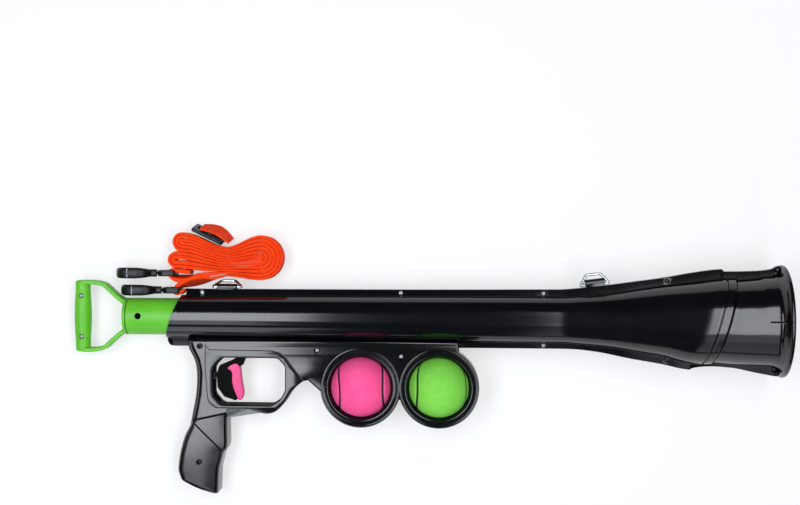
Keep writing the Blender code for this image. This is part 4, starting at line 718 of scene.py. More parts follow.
@dataclass(frozen=True)
class Webbing:
    """Woven strap: flat yarns in a fine herringbone, read from coordinates in metres, with painted shade in
    the weave's hollows.
    """

    name: str
    shade: str
    shade_low: str
    shade_deep: str
    yarn: float = 0.00125
    rib: float = 0.0011

    def make(self) -> bpy.types.Material:
        """Build the finish.

        Returns:
            The material.
        """
        g = Graph(self.name)
        along, across, _ = g.parts(g.uv())
        flip = (across / 0.0042).wrapped(1.0).ramp(0.46, 0.54)
        lean = (flip * 2 - 1) * ((across / 0.0042).wrapped(1.0) - 0.5).size() * 0.0042
        rows = ((along + lean) / self.rib * (2 * math.pi)).sine() * 0.5 + 0.5
        columns = (across / self.yarn * (2 * math.pi)).sine() * 0.5 + 0.5
        weave = rows * 0.65 + columns * 0.35
        fibre = g.noise(1.0, 3, 0.6, g.stretched(g.uv(), (1 / 0.0009, 1 / 0.00022, 1.0)))
        patch = g.noise(0.02, 3, 0.6)
        tone = g.mixed(patch.ramp(0.3, 0.7), self.shade_low, self.shade)
        # pit is painted shade where the weave's bump is low, and some fibres darker at random.
        pit = (1 - weave).ramp(0.45, 1.0) * 0.6 + fibre.ramp(0.55, 0.8) * 0.16
        g.set(Base_Color=g.mixed(pit, tone, self.shade_deep))
        g.set(Roughness=0.62 + fibre * 0.2 + (1 - weave) * 0.1)
        thread = g.bump(fibre, 0.00012)
        g.set(Normal=g.bump(weave, 0.00028, 1.0, thread))
        g.set(Sheen_Weight=0.05, Sheen_Roughness=0.5, Sheen_Tint=colour(self.shade), Specular_IOR_Level=0.12)
        return g.material


@dataclass(frozen=True)
class Felt:
    """Ball cover: short matted hair with faint clumps, lighter where they stand up: partly painted shade."""

    name: str
    shade: str
    shade_low: str
    shade_deep: str

    def make(self) -> bpy.types.Material:
        """Build the finish.

        Returns:
            The material.
        """
        g = Graph(self.name)
        hair = g.noise(0.0007, 5, 0.75)
        clump = g.noise(0.004, 4, 0.65)
        patch = g.noise(0.02, 2, 0.5)
        # The clump share is painted shade: clumps that the bump raises are lighter, the dips between them
        # darker; the patch share is random tone.
        tone = g.mixed(patch.ramp(0.3, 0.7) * 0.6 + clump.ramp(0.35, 0.7) * 0.4, self.shade_low, self.shade)
        pit = hair.ramp(0.52, 0.78) * 0.45
        g.set(Base_Color=g.mixed(pit, tone, self.shade_deep))
        g.set(Roughness=0.72 + hair * 0.2)
        tuft = g.bump(clump, 0.0005, 0.8)
        g.set(Normal=g.bump(hair, 0.0003, 0.9, tuft))
        g.set(Sheen_Weight=0.12, Sheen_Roughness=0.45, Sheen_Tint=colour(self.shade), Specular_IOR_Level=0.15)
        return g.material


@dataclass(frozen=True)
class Sponge:
    """Closed foam with small cells, with painted shade: each cell darker towards its hollow middle."""

    name: str
    shade: str
    shade_low: str

    def make(self) -> bpy.types.Material:
        """Build the finish.

        Returns:
            The material.
        """
        g = Graph(self.name)
        sockets = {"Vector": g.place(), "Scale": 900.0}
        cells = g.node("ShaderNodeTexVoronoi", {"feature": "DISTANCE_TO_EDGE"}, sockets)
        wall = cells.ramp(0.0, 0.25)
        # wall is 0 at the cells' edges and 1 in their middles, which the bump makes hollow: painted shade
        # there.
        g.set(Base_Color=g.mixed(wall * 0.7 + g.noise(0.01) * 0.3, self.shade, self.shade_low))
        g.set(Roughness=0.8 + wall * 0.12, Normal=g.bump(1 - wall, 0.00025))
        return g.material


class Finish(Enum):
    """The named finishes of the thrower."""

    GLOSS = Moulded(
        "black_gloss_plastic", "#07090C", "#050608", "#171B20", 0.13, 0.03, 0.0007, 0.000002, 0.000012
    )
    MATT = Moulded(
        "black_matt_plastic", "#0C0E11", "#090B0D", "#202429", 0.4, 0.06, 0.0005, 0.00002, 0.000008,
        specular=0.35,
    )
    GREEN = Moulded(
        "green_plastic", "#66C02C", "#5DB726", "#98DC70", 0.4, 0.05, 0.0006, 0.000008, 0.00001, specular=0.38
    )
    PINK = Moulded(
        "pink_plastic", "#EE4D8F", "#E24080", "#FF8CBC", 0.4, 0.05, 0.0006, 0.000008, 0.00001, specular=0.35
    )
    NYLON = Moulded("white_nylon", "#E6E4DC", "#DAD8CF", "#F4F3EE", 0.38)
    # Near-black matt plastic: the own black of the trigger lever and the tube screw, and painted shade on the
    # dark pieces put in recesses, behind the slit, in the grooves and round the guard's opening.
    BLACK_AND_SHADE = Moulded("black_plastic_and_painted_shade", "#050607", "#040505", "#101214", 0.65, 0.05, specular=0.08)
    FASTENER = Plated("screw_zinc", "#A4A9B0", "#777C83", 0.34)
    RING_WIRE = Plated("ring_zinc", "#C9CCD2", "#9DA2AA", 0.2)
    SPRING = Plated("spring_steel", "#7D8085", "#5C5F64", 0.32)
    STRAP = Webbing("orange_webbing", "#FF4A14", "#FB400E", "#D03008")
    PINK_FELT = Felt("pink_felt", "#FF5F9C", "#FA508E", "#D53F79")
    GREEN_FELT = Felt("green_felt", "#84D653", "#78CB47", "#57A42E")
    SEAM = Moulded("seam_rubber", "#15171A", "#0F1113", "#2A2D30", 0.6, 0.06, 0.0004, 0.00003)
    PAD = Sponge("foam_pad", "#3A3C40", "#26282B")


class Finishes:
    """Makes each finish once."""

    def __init__(self) -> None:
        """Start with none made."""
        self.made: dict[Finish, bpy.types.Material] = {}

    def get(self, finish: Finish) -> bpy.types.Material:
        """The material of a finish."""
        if finish not in self.made:
            self.made[finish] = finish.value.make()
        return self.made[finish]


# The launcher


@dataclass(frozen=True)
class Tail:
    """The slant of the shells' rear edge."""

    slope: float = math.tan(math.radians(19.4))
    low: float = -0.020
    high: float = 0.022
    start: float = 0.004
    reach: float = 0.04


@dataclass(frozen=True)
class Barrel:
    """The two moulded shells: tail, barrel, bell, cone and lip, with their flanges and lugs."""

    finishes: Finishes
    radius: Taper = Taper((
        (-0.010, 0.0228), (0.012, 0.0228), (0.12, 0.02325), (0.237, 0.0239), (0.386, 0.0245), (0.403, 0.0245),
        (0.425, 0.0259), (0.452, 0.0284), (0.480, 0.0328), (0.510, 0.0375), (0.536, 0.0420), (0.5475, 0.0439),
        (0.5545, 0.0446), (0.5600, 0.0450), (0.5690, 0.0450), (0.5697, 0.0449), (0.5704, 0.0434),
        (0.5712, 0.04335), (0.5800, 0.0440), (0.6100, 0.0465), (0.6190, 0.0473), (0.6215, 0.0480),
        (0.6250, 0.0520), (0.6280, 0.0572), (0.6290, 0.0580), (0.6305, 0.0580), (0.6315, 0.0577),
        (0.6320, 0.0570),
    ))
    top: Taper = Taper((
        (0.0, 0.0294), (0.132, 0.0297), (0.237, 0.0301), (0.382, 0.0312), (0.403, 0.0314), (0.425, 0.0332),
        (0.452, 0.0364), (0.480, 0.0403), (0.509, 0.0444), (0.5355, 0.0493), (0.561, 0.0530),
        (0.5685, 0.0535), (0.5690, 0.0535), (0.5700, 0.0512), (0.600, 0.0518), (0.618, 0.0538),
        (0.6255, 0.0572), (0.632, 0.0579),
    ))
    bottom: Taper = Taper((
        (-0.0085, 0.0245), (-0.0075, 0.0272), (-0.0058, 0.0295), (-0.0035, 0.0306), (0.0, 0.0309),
        (0.383, 0.0303), (0.403, 0.0303), (0.418, 0.0306), (0.439, 0.0327), (0.475, 0.0396),
        (0.510, 0.0455), (0.530, 0.0498), (0.5375, 0.0506), (0.5385, 0.0492), (0.561, 0.0470),
        (0.580, 0.0483), (0.602, 0.0526), (0.616, 0.0552), (0.624, 0.0565), (0.632, 0.0568),
    ))
    half: Taper = Taper(((0.39, 0.0032), (0.44, 0.00415), (0.632, 0.00415)))
    wall: float = 0.0024
    lip_wall: float = 0.0014
    draft: float = math.tan(math.radians(19))
    edge: float = 0.0008
    fillet: float = 0.0012
    fin_points: int = 12
    slant: float = math.tan(math.radians(15.5))
    slant_in: Flat = (0.500, 0.545)
    slant_out: Flat = (0.590, 0.612)
    cone_start: float = 0.5735
    lip_start: float = 0.619
    grooves: Flat = (0.5605, 0.5699)
    groove_half: float = 0.0011
    groove_depth: float = 0.0013
    tail: Tail = Tail()
    top_start: float = 0.0115
    slit_turn: float = 3.8
    slit_start: float = 0.6095
    slit_end: float = 0.6290
    screw_bore: float = 0.0031
    bell_bore: float = 0.0032
    well_bore: float = 0.0036
    well_wall: float = 0.0009
    lug_places: tuple[tuple[float, float, float, float], ...] = (
        (0.4389, 0.0122, 0.0102, math.radians(7.1)), (0.0547, 0.0086, 0.0106, 0.0),
    )

    def build(self) -> None:
        """Make both shells and seat them."""
        gloss = self.finishes.get(Finish.GLOSS)
        for side, node in ((1, "shell_right"), (-1, "shell_left")):
            shell = self._shell(side)
            if side > 0:
                shell = carved(shell, self._cutters(), 40)
            lugs = self._lugs()
            halves = [half_of(lug, f"{lug.name}_{side}", side) for lug in lugs]
            for lug in lugs:
                bpy.data.objects.remove(lug)
            whole = merged(f"barrel_{'right' if side > 0 else 'left'}", [shell, *halves])
            seat(whole, "launcher", gloss, (node,), "black_gloss")
        dark = self.finishes.get(Finish.BLACK_AND_SHADE)
        # Painted shade: dark matt cups lining the deep screw recesses at the muzzle.
        wells = [self._recess_shade(x, y) for x, y in MUZZLE_SCREWS]
        seat(merged("muzzle_recess_shades", wells), "launcher", dark, (), "black_gloss")
        # Painted shade: a dark strip behind the slit at the mouth.
        seat(self._slit_shade(), "launcher", dark, (), "black_gloss")

    def _warp(self, s: float, y: float) -> float:
        """The real place along the axis of a station's point at height y."""
        band = float(smooth_step(*self.slant_in, s) * (1 - smooth_step(*self.slant_out, s)))
        end = float(1 - smooth_step(self.tail.start, self.tail.reach, s))
        tilt = float(np.clip(y, self.tail.low, self.tail.high)) * self.tail.slope
        return s + y * self.slant * band + tilt * end

    def _body_radius(self, s: float) -> float:
        """Outer radius at a station, grooves included."""
        r = float(self.radius.at(s))
        for groove in self.grooves:
            d = abs(s - groove) / self.groove_half
            if d < 1:
                r -= self.groove_depth * min(1.0, 2.2 * (1 - d))
        return r

    def _stations(self) -> list[float]:
        """Places of the sections, closer together where the form changes."""
        marks = list(np.linspace(-0.0010, 0.0400, 22)) + list(np.linspace(0.046, 0.40, 48))
        marks += list(np.linspace(0.404, 0.545, 58)) + list(np.linspace(0.547, 0.6190, 60))
        marks += list(np.linspace(0.6195, 0.6320, 34))
        for share in (-1.0, -0.96, -0.56, -0.5, 0.5, 0.56, 0.96, 1.0):
            marks += [groove + share * self.groove_half for groove in self.grooves]
        marks += [0.5685, 0.5690, 0.5693, 0.5697, 0.5701, 0.5706, 0.5375, 0.5379, 0.5383, 0.5388]
        marks.sort()
        return [m for i, m in enumerate(marks) if i == 0 or m - marks[i - 1] > 5e-5]

    def _section(self, s: float) -> list[Flat]:
        """Half section (height, side) at a station, from the top flange round and back inside."""
        r = self._body_radius(s)
        top = bottom = s
        for _ in range(6):
            top = self._warp(s, float(self.top.at(top)))
            bottom = self._warp(s, -float(self.bottom.at(bottom)))
        h = float(self.half.at(s))
        first = math.asin(GAP / r)
        upper = self._fin(float(self.top.at(top)), h, r) if top > self.top_start else None
        lower = self._fin(float(self.bottom.at(bottom)), h, r)
        start = math.atan2(upper[-1][1], upper[-1][0]) if upper else first
        end = math.pi - (math.atan2(lower[-1][1], lower[-1][0]) if lower else first)
        outer = list(upper or self._bare(r))
        outer += [(r * math.cos(a), r * math.sin(a)) for a in np.linspace(start, end, 58)[1:-1]]
        outer += [(-y, z) for y, z in reversed(lower or self._bare(r))]
        inner = r - self.wall
        if s > self.lip_start:
            marks = (self.lip_start, 0.625, 0.629, 0.632)
            inner = float(np.interp(s, marks, (inner, 0.0497, 0.0528, 0.0553)))
            inner = min(inner, r - self.lip_wall)
        elif s > self.cone_start:
            inner = float(self.radius.at(s)) - self.wall
        first = math.asin(GAP / inner)
        inside = [(inner * math.cos(a), inner * math.sin(a)) for a in np.linspace(math.pi - first, first, 40)]
        return outer + inside

    def _bare(self, r: float) -> list[Flat]:
        """The barrel's own line where there is no flange, with a flange's count of points."""
        first = math.asin(GAP / r)
        angles = np.linspace(first, first + 0.0002, self.fin_points)
        return [(r * math.cos(a), r * math.sin(a)) for a in angles]

    def _fin(self, tip: float, h: float, r: float) -> list[Flat] | None:
        """The flange's outline from the parting plane to the barrel: its face falls away to its rim.

        Args:
            tip: how far out the flange reaches.
            h: half of its thickness at the rim.
            r: the barrel's radius there.

        Returns:
            As many points as every flange has, or nothing where the barrel covers it.
        """
        e, f, k = self.edge, self.fillet, self.draft
        if tip < r + 0.0012:
            return None
        lean = math.atan(k)
        rim = h - e
        face = Vector((-math.cos(lean), math.sin(lean)))
        normal = Vector((math.sin(lean), math.cos(lean)))
        origin = Vector((tip - e, rim)) + normal * e
        reach = (r + f) ** 2
        low, high = 0.0, 0.03
        for _ in range(40):
            middle = 0.5 * (low + high)
            centre = origin + face * middle + normal * f
            low, high = (middle, high) if centre.length_squared > reach else (low, middle)
        centre = origin + face * low + normal * f
        if low < 0.0004:
            return None
        line = [(tip, GAP)]
        for a in np.linspace(0, math.pi / 2 - lean, 5):
            line.append((tip - e + e * math.cos(a), rim + e * math.sin(a)))
        start = -math.pi / 2 - lean
        finish = math.atan2(-centre.y, -centre.x)
        for share in np.linspace(0, 1, self.fin_points - len(line)):
            angle = start + share * (finish - start)
            line.append((centre.x + f * math.cos(angle), centre.y + f * math.sin(angle)))
        return line

    def _shell(self, side: int) -> bpy.types.Object:
        """The skin of one shell."""
        rings = []
        for s in self._stations():
            rings.append(np.array([(self._warp(s, y), y, side * z) for y, z in self._section(s)]))
        return loft(f"shell_skin_{side}", rings, 40)

    def _cutters(self) -> list[bpy.types.Object]:
        """Recesses of the screws, and the groove at the mouth."""
        cutters = []
        for place in self.flange_screws():
            cutters.append(upright_rod(self.screw_bore, place, FLANGE_SEAT, 0.012))
        for bell, muzzle in zip(BELL_SCREWS, MUZZLE_SCREWS):
            cutters.append(upright_rod(self.bell_bore, bell, 0.0028, 0.024))
            cutters.append(upright_rod(self.well_bore, muzzle, 0.00295, 0.070))
        outline = [(x, y - 0.0020) for x, y in self._outer_line(self.slit_start)]
        outline += [(self.slit_end, 0.064), (self.slit_start, 0.056)]
        return cutters + [self._turned(plate("slit", outline, 0.0009))]

    def flange_screws(self) -> list[Flat]:
        """Places of the four screws along the barrel's flanges."""
        places = [(x, float(self.radius.at(x)) + SCREW_RISE) for x in BARREL_SCREWS]
        return places + [(LOWER_SCREW, -float(self.radius.at(LOWER_SCREW)) - SCREW_RISE)]

    def _outer_line(self, start: float) -> list[Flat]:
        """The cone's outer line from a station up to where the slit ends."""
        return [(float(x), float(self.radius.at(x))) for x in np.linspace(start, self.slit_end, 24)]

    def _turned(self, item: bpy.types.Object) -> bpy.types.Object:
        """Turn a shape of the parting plane round to the slit."""
        return moved(item, Matrix.Rotation(math.radians(90 - self.slit_turn), 4, "X"))

    def _recess_shade(self, x: float, y: float) -> bpy.types.Object:
        """A dark matt cup that lines a deep screw recess, from the flange up to the shell's skin: painted
        shade.
        """
        rows: list[list[Point]] = [[], [], [], []]
        count = 56
        for k in range(count):
            a = 2 * math.pi * k / count
            for inner, radius in ((True, self.well_bore - 0.0001), (False, self.well_bore + self.well_wall)):
                px, py = x + radius * math.cos(a), y + radius * math.sin(a)
                skin = float(self.radius.at(px)) ** 2 - py * py
                top = max(math.sqrt(max(skin, 0.0)) - 0.0007, float(self.half.at(x)) - 0.0004)
                rows[1 if inner else 2].append((px, py, top))
                rows[0 if inner else 3].append((px, py, 0.00299 if inner else 0.0022))
        corners = [p for row in rows for p in row]
        caps = [tuple(range(count)), tuple(range(3 * count, 4 * count))]
        return from_faces(f"well_{y}", corners, caps + grid(4, count), 50)

    def _slit_shade(self) -> bpy.types.Object:
        """A dark strip behind the slit at the mouth: painted shade that makes the slit read dark."""
        line = self._outer_line(self.slit_start - 0.0003)
        outline = [(x, y - 0.0021) for x, y in line] + [(x, y - 0.0012) for x, y in line[::-1]]
        return self._turned(plate("mouth_slit_shade_strip", outline, 0.00085))

    def _lugs(self) -> list[bpy.types.Object]:
        """The two bored lugs that the sling rings turn in, whole."""
        lugs = []
        r, b, c, foot = 0.0034, 0.0018, 0.0006, 0.0068
        for x, rise, n, tilt in self.lug_places:
            end = n - 0.0041
            profile = [(-end, 0.0001), (-end, b), (-n, b), (-n, r - c), (-n + c, r)]
            profile += [(-a, radius) for a, radius in profile[::-1]]
            body = lathe(f"lug_{x}", profile, 48, "X", 40)
            corners = [(-n + c, -foot), (n - c, -foot), (n - c, -0.0001), (-n + c, -0.0001)]
            web = plate(f"lug_foot_{x}", corners, 0.0030, 0.0005, segments=3)
            seat_on = Matrix.Translation((x, float(self.radius.at(x)) + rise, 0))
            lugs += [moved(item, Matrix.Rotation(tilt, 4, "Z"), seat_on) for item in (body, web)]
        return lugs


@dataclass(frozen=True)
class Screw:
    """A pan-head screw with a cross recess, its head up along +Z from z = 0."""

    radius: float = 0.0026
    height: float = 0.0015
    arm: float = 0.0015
    slot: float = 0.00034

    def head(self, name: str, turn: float) -> bpy.types.Object:
        """Make the head.

        Args:
            name: the object's name.
            turn: how far the cross is turned, in radians.

        Returns:
            The head.
        """
        r, h = self.radius, self.height
        profile = [(-0.0012, 0.00005), (-0.0012, r * 0.6), (0.0, r * 0.6), (0.0, r * 0.97), (h * 0.2, r)]
        for a in np.linspace(0.2, 1.5, 8):
            profile.append((h * (0.2 + 0.8 * math.sin(a)), r * (0.35 + 0.65 * math.cos(a))))
        profile.append((h, 0.00005))
        head = lathe(name, profile, 40, "Z", 45)
        cross = []
        for k in range(12):
            quarter, spot = divmod(k, 3)
            a = turn + quarter * math.pi / 2
            u, v = Vector((math.cos(a), math.sin(a))), Vector((-math.sin(a), math.cos(a)))
            arm, slot = u * self.arm, v * self.slot
            cross.append((arm - slot, arm + slot, (u + v) * self.slot)[spot])
        points = [(p.x, p.y, h + 0.0006) for p in cross]
        points += [(p.x * 0.45, p.y * 0.45, h - 0.0011) for p in cross]
        faces = [tuple(range(12)), tuple(range(12, 24))] + grid(2, 12)
        return carved(head, [from_faces("cross", points, faces)], 45)


@dataclass(frozen=True)
class Fasteners:
    """Every screw of the launcher's shells and of its frame."""

    finishes: Finishes
    barrel: Barrel
    screw: Screw = Screw()

    def build(self) -> None:
        """Make the screws and seat them on the shells and on the frame."""
        steel, dark = self.finishes.get(Finish.FASTENER), self.finishes.get(Finish.MATT)
        nodes = [f"barrel_screw_{i}" for i in (1, 2, 3, 4)]
        nodes += [f"{part}_screw_{end}" for part in ("bell", "muzzle") for end in ("top", "bottom")]
        nodes += [f"frame_screw_{i}" for i in (1, 2, 3)] + ["grip_screw"]
        places: list[Point] = []
        for spots, height in (
            (self.barrel.flange_screws(), FLANGE_SEAT), (BELL_SCREWS, BELL_SEAT),
            (MUZZLE_SCREWS, MUZZLE_SEAT), (FRAME_SCREWS, FRAME_SEAT), ((GRIP_SCREW,), GRIP_SEAT),
        ):
            places += [(x, y, height + 0.00002) for x, y in spots]
        for i, (place, node) in enumerate(zip(places, nodes)):
            head = moved(self.screw.head(f"{node}_head", 0.4 + i * 1.1), Matrix.Translation(place))
            # Screws sunk in deep recesses get black matt instead of zinc: painted shade in their recesses.
            sunk = node.startswith(("bell", "muzzle", "grip")) or node == "frame_screw_1"
            seat(head, "launcher", dark if sunk else steel, (node,), "black_matt" if sunk else "steel")


@dataclass(frozen=True)
class Frame:
    """The moulded plate under the barrel: plate, trigger guard, ball rings and grip, in two halves."""

    finishes: Finishes
    half: float = 0.0125
    edge: float = 0.0022
    top: float = -0.0235
    front_ring: Flat = (0.2781, -0.0720)
    rear_ring: Flat = (0.1964, -0.0720)
    ring: float = 0.0420
    hole: float = 0.0321
    far_hole: float = 0.0303
    arm_hole: float = 0.0330
    arm_end: float = 0.2990
    sear_room: float = 0.0101
    lever_room: float = 0.0056
    recess: float = 0.0033
    grip_half: float = 0.0166

    def build(self) -> None:
        """Make both halves and seat them."""
        gloss = self.finishes.get(Finish.GLOSS)
        whole = [self._roomy(self._plate()), self._spine(), self._roomy(self._band()), self._grip()]
        for side, node, name in ((1, "frame_right", "frame_near"), (-1, "frame_left", "frame_far")):
            pieces = [half_of(item, f"{item.name}_{side}", side) for item in whole]
            pieces[0] = carved(pieces[0], self._recesses(side), 35)
            pieces[-1] = carved(pieces[-1], self._grip_cuts(side), 30)
            pieces += [self._ring(centre, side) for centre in (self.front_ring, self.rear_ring)]
            seat(merged(name, pieces), "launcher", gloss, (node,), "black_gloss")
        for item in whole:
            bpy.data.objects.remove(item)
        # Painted shade: a dark sheet round the inside of the guard's opening and dark strips in the grip's
        # grooves.
        inner = rounded(self._opening_corners(0.0003), 0.0088, 8)
        outer = rounded(self._opening_corners(-0.0003), 0.0092, 8)
        opening_shade = self._roomy(plate("guard_opening_shade", outer, 0.0123, holes=[inner]))
        groove_shades = [strip for side in (1, -1) for strip in self._groove_bars(side, 0.00082, 0.0026, 0.0008)]
        for item in (opening_shade, merged("grip_groove_shades", groove_shades)):
            seat(item, "launcher", self.finishes.get(Finish.BLACK_AND_SHADE), (), "black_gloss")

    def _roomy(self, item: bpy.types.Object) -> bpy.types.Object:
        """Take the rooms for the sear and for the swinging lever out of a shape."""
        sear = box("room", (0.0406, -0.0392), (0.1236, -0.0262), self.sear_room)
        lever = box("room", (0.0340, -0.0895), (0.0521, -0.0426), self.lever_room)
        slot = box("room", (0.0552, -0.0456), (0.0891, -0.0368), self.lever_room)
        return carved(carved(item, [sear, lever], 35), [slot], 35)

    def _opening_corners(self, inset: float = 0.0) -> list[Flat]:
        """Corners of the trigger guard's opening, moved inwards by an inset."""
        corners = [
            (0.0406, -0.0525), (0.0406, -0.0820), (0.0495, -0.0922), (0.1035, -0.0922), (0.1125, -0.0858),
            (0.1179, -0.0760), (0.1179, -0.0500), (0.1100, -0.0416), (0.0512, -0.0416),
        ]
        (x, y), (half_x, half_y) = (0.0793, -0.0669), (0.0386, 0.0253)
        wide, high = 1 - inset / half_x, 1 - inset / half_y
        return [(x + (a - x) * wide, y + (b - y) * high) for a, b in corners]

    def _opening(self) -> list[Flat]:
        """The trigger guard's opening."""
        return rounded(self._opening_corners(), 0.009, 8)

    def _plate(self) -> bpy.types.Object:
        """The plate with the guard and the arms behind the ball rings."""
        (fx, fy), (rx, ry) = self.front_ring, self.rear_ring
        r = self.ring - 0.0004
        line = [(0.0180, self.top), (self.arm_end - 0.0015, self.top), (self.arm_end, self.top - 0.004)]
        start = math.acos((self.arm_end - fx) / r)
        line += arc((fx, fy), r, start, -2.84, 60)
        line += [(0.5 * (fx + rx), -0.0846)]
        line += arc((rx, ry), r, -0.30, -math.pi + 0.12, 56)
        lower = [
            (0.1528, -0.0660), (0.1375, -0.0658), (0.1266, -0.0747), (0.1175, -0.0882), (0.1071, -0.0984),
            (0.0976, -0.1006), (0.0775, -0.0963), (0.0578, -0.0959),
        ]
        line += flowing(lower, 7)[5:]
        line += [
            (0.0560, -0.1060), (0.0540, -0.1156), (0.0215, -0.1170), (0.0228, -0.1059), (0.0276, -0.0800),
            (0.0288, -0.0577), (0.0262, -0.0442), (0.0200, -0.0315),
        ]
        holes = [self._opening()]
        for centre in (self.front_ring, self.rear_ring):
            holes.append(arc(centre, self.arm_hole, 0, 2 * math.pi, 97)[:-1])
        return plate("plate", line, self.half, self.edge, holes, 4)

    def _spine(self) -> bpy.types.Object:
        """The rounded back of the plate, from the barrel to the grip."""
        line = flowing([
            (0.0178, -0.0245), (0.0186, -0.0315), (0.0246, -0.0442), (0.0270, -0.0577), (0.0262, -0.0800),
            (0.0216, -0.1059), (0.0195, -0.1160),
        ])
        turns = np.linspace(0, 2 * math.pi, 40, endpoint=False)
        oval = [(0.0042 * math.cos(a), 0.0128 * math.sin(a)) for a in turns]
        return sweep("spine", line, lambda share: oval, 50)

    def _band(self) -> bpy.types.Object:
        """The raised band round the trigger guard's opening."""
        upper = [
            (0.0334, -0.0270), (0.0378, -0.0333), (0.1034, -0.0338), (0.1120, -0.0360), (0.1185, -0.0410),
            (0.1372, -0.0652),
        ]
        lower = [
            (0.1372, -0.0652), (0.1260, -0.0747), (0.1169, -0.0875), (0.1070, -0.0975), (0.0976, -0.0997),
            (0.0775, -0.0956), (0.0578, -0.0952), (0.0450, -0.0952),
        ]
        rear = [(0.0450, -0.0952), (0.0372, -0.0890), (0.0345, -0.0700), (0.0330, -0.0500), (0.0334, -0.0270)]
        outline = upper + flowing(lower, 6)[1:] + flowing(rear)[1:-1]
        return plate("band", outline, 0.0132, 0.0009, [self._opening()], 3)

    def _recesses(self, side: int) -> list[bpy.types.Object]:
        """Round recesses of the frame's screws."""
        low, high = (0.0089, 0.0200) if side > 0 else (-0.0200, -0.0112)
        return [upright_rod(self.recess, place, low, high) for place in FRAME_SCREWS]

    def _ring(self, centre: Flat, side: int) -> bpy.types.Object:
        """Half of a ball ring, turned round the ball's axis."""
        inner = self.hole if side > 0 else self.far_hole
        profile = [
            (inner, GAP), (inner, 0.0086), (inner + 0.0009, 0.0096), (0.0365, 0.0116), (0.0386, 0.0122),
            (0.0391, 0.0130), (0.0400, 0.0133), (0.0409, 0.0130), (0.0414, 0.0121), (0.0420, 0.0108),
            (0.0420, GAP),
        ]
        body = lathe(f"ring_{centre[0]}_{side}", [(side * z, r) for r, z in profile], 128, "Z", 38)
        return moved(body, Matrix.Translation((*centre, 0)))

    def _grip(self) -> bpy.types.Object:
        """The whole grip: rows from the guard down to the butt."""
        left = flowing([
            (0.0196, -0.1072), (0.0150, -0.1160), (0.0102, -0.1256), (0.0056, -0.1424), (0.0036, -0.1560),
            (0.0034, -0.1615), (0.0060, -0.1690),
        ], 7)
        right = flowing([
            (0.0570, -0.1000), (0.0565, -0.1140), (0.0560, -0.1375), (0.0530, -0.1414), (0.0496, -0.1530),
            (0.0480, -0.1600), (0.0468, -0.1843),
        ], 7)
        rings = [self._grip_row(np.array(a), np.array(b), self.grip_half) for a, b in zip(left, right)]
        for share, drop in ((0.35, 0.0010), (0.7, 0.0026), (1.0, 0.0052)):
            low = np.array(left[-1]) + share * np.array((0.0012, -0.0016))
            high = np.array(right[-1]) + share * np.array((-0.0016, -0.0018))
            rings.append(self._grip_row(low, high, self.grip_half - drop, 0.0018))
        return loft("grip", rings, 38)

    def _grip_row(self, low: np.ndarray, high: np.ndarray, half: float, sag: float = 0.0) -> np.ndarray:
        """One row of the grip: rounded back, slightly crowned sides and a chamfered front."""
        span = float(np.linalg.norm(high - low))
        back, front = 0.0052, 0.0030
        flat = half - 0.0006
        angles = np.linspace(0.0, math.pi / 2, 9)
        points = [(back - back * math.cos(a), flat * math.sin(a) ** 0.8) for a in angles]
        for u in np.linspace(0.12, 0.88, 7):
            points.append((back + u * (span - back - front), flat + 0.0006 * math.sin(math.pi * u)))
        points += [(span - front, flat), (span - 0.0012, half - 0.0022), (span - 0.0002, half - 0.0040)]
        points.append((span, half - 0.0062))
        loop = points + [(u, -v) for u, v in reversed(points)]
        ahead = (high - low) / span
        row = []
        for u, v in loop:
            place = low + ahead * u + np.array((ahead[1], -ahead[0])) * sag * math.sin(math.pi * u / span)
            row.append((place[0], place[1], v))
        return np.array(row[1:] if abs(points[0][1]) < 1e-9 else row)

    def _grip_cuts(self, side: int) -> list[bpy.types.Object]:
        """The two grooves on the grip's side and its screw's recess."""
        hole = upright_rod(self.recess, GRIP_SCREW, side * 0.0130, side * 0.0200)
        return [*self._groove_bars(side, 0.0009, 0.0026, -0.0020), hole]

    def _groove_bars(self, side: int, half: float, depth: float, below: float) -> list[bpy.types.Object]:
        """Two bars along the grip's grooves.

        Args:
            side: 1 for the +Z side, -1 for the other.
            half: half of a bar's width.
            depth: how deep its foot lies under the grip's side.
            below: how deep its top lies.

        Returns:
            The bars.
        """
        bars = []
        for start, end in (((0.0212, -0.1078), (0.0545, -0.1003)), ((0.0212, -0.1096), (0.0519, -0.1396))):
            a, b = Vector(start), Vector(end)
            across = (b - a).orthogonal().normalized() * half
            outline = [tuple(p) for p in (a - across, b - across, b + across, a + across)]
            low, high = self.grip_half - depth, self.grip_half - below
            bars.append(plate("groove", outline, 0.5 * (high - low), middle=side * 0.5 * (low + high)))
        return bars


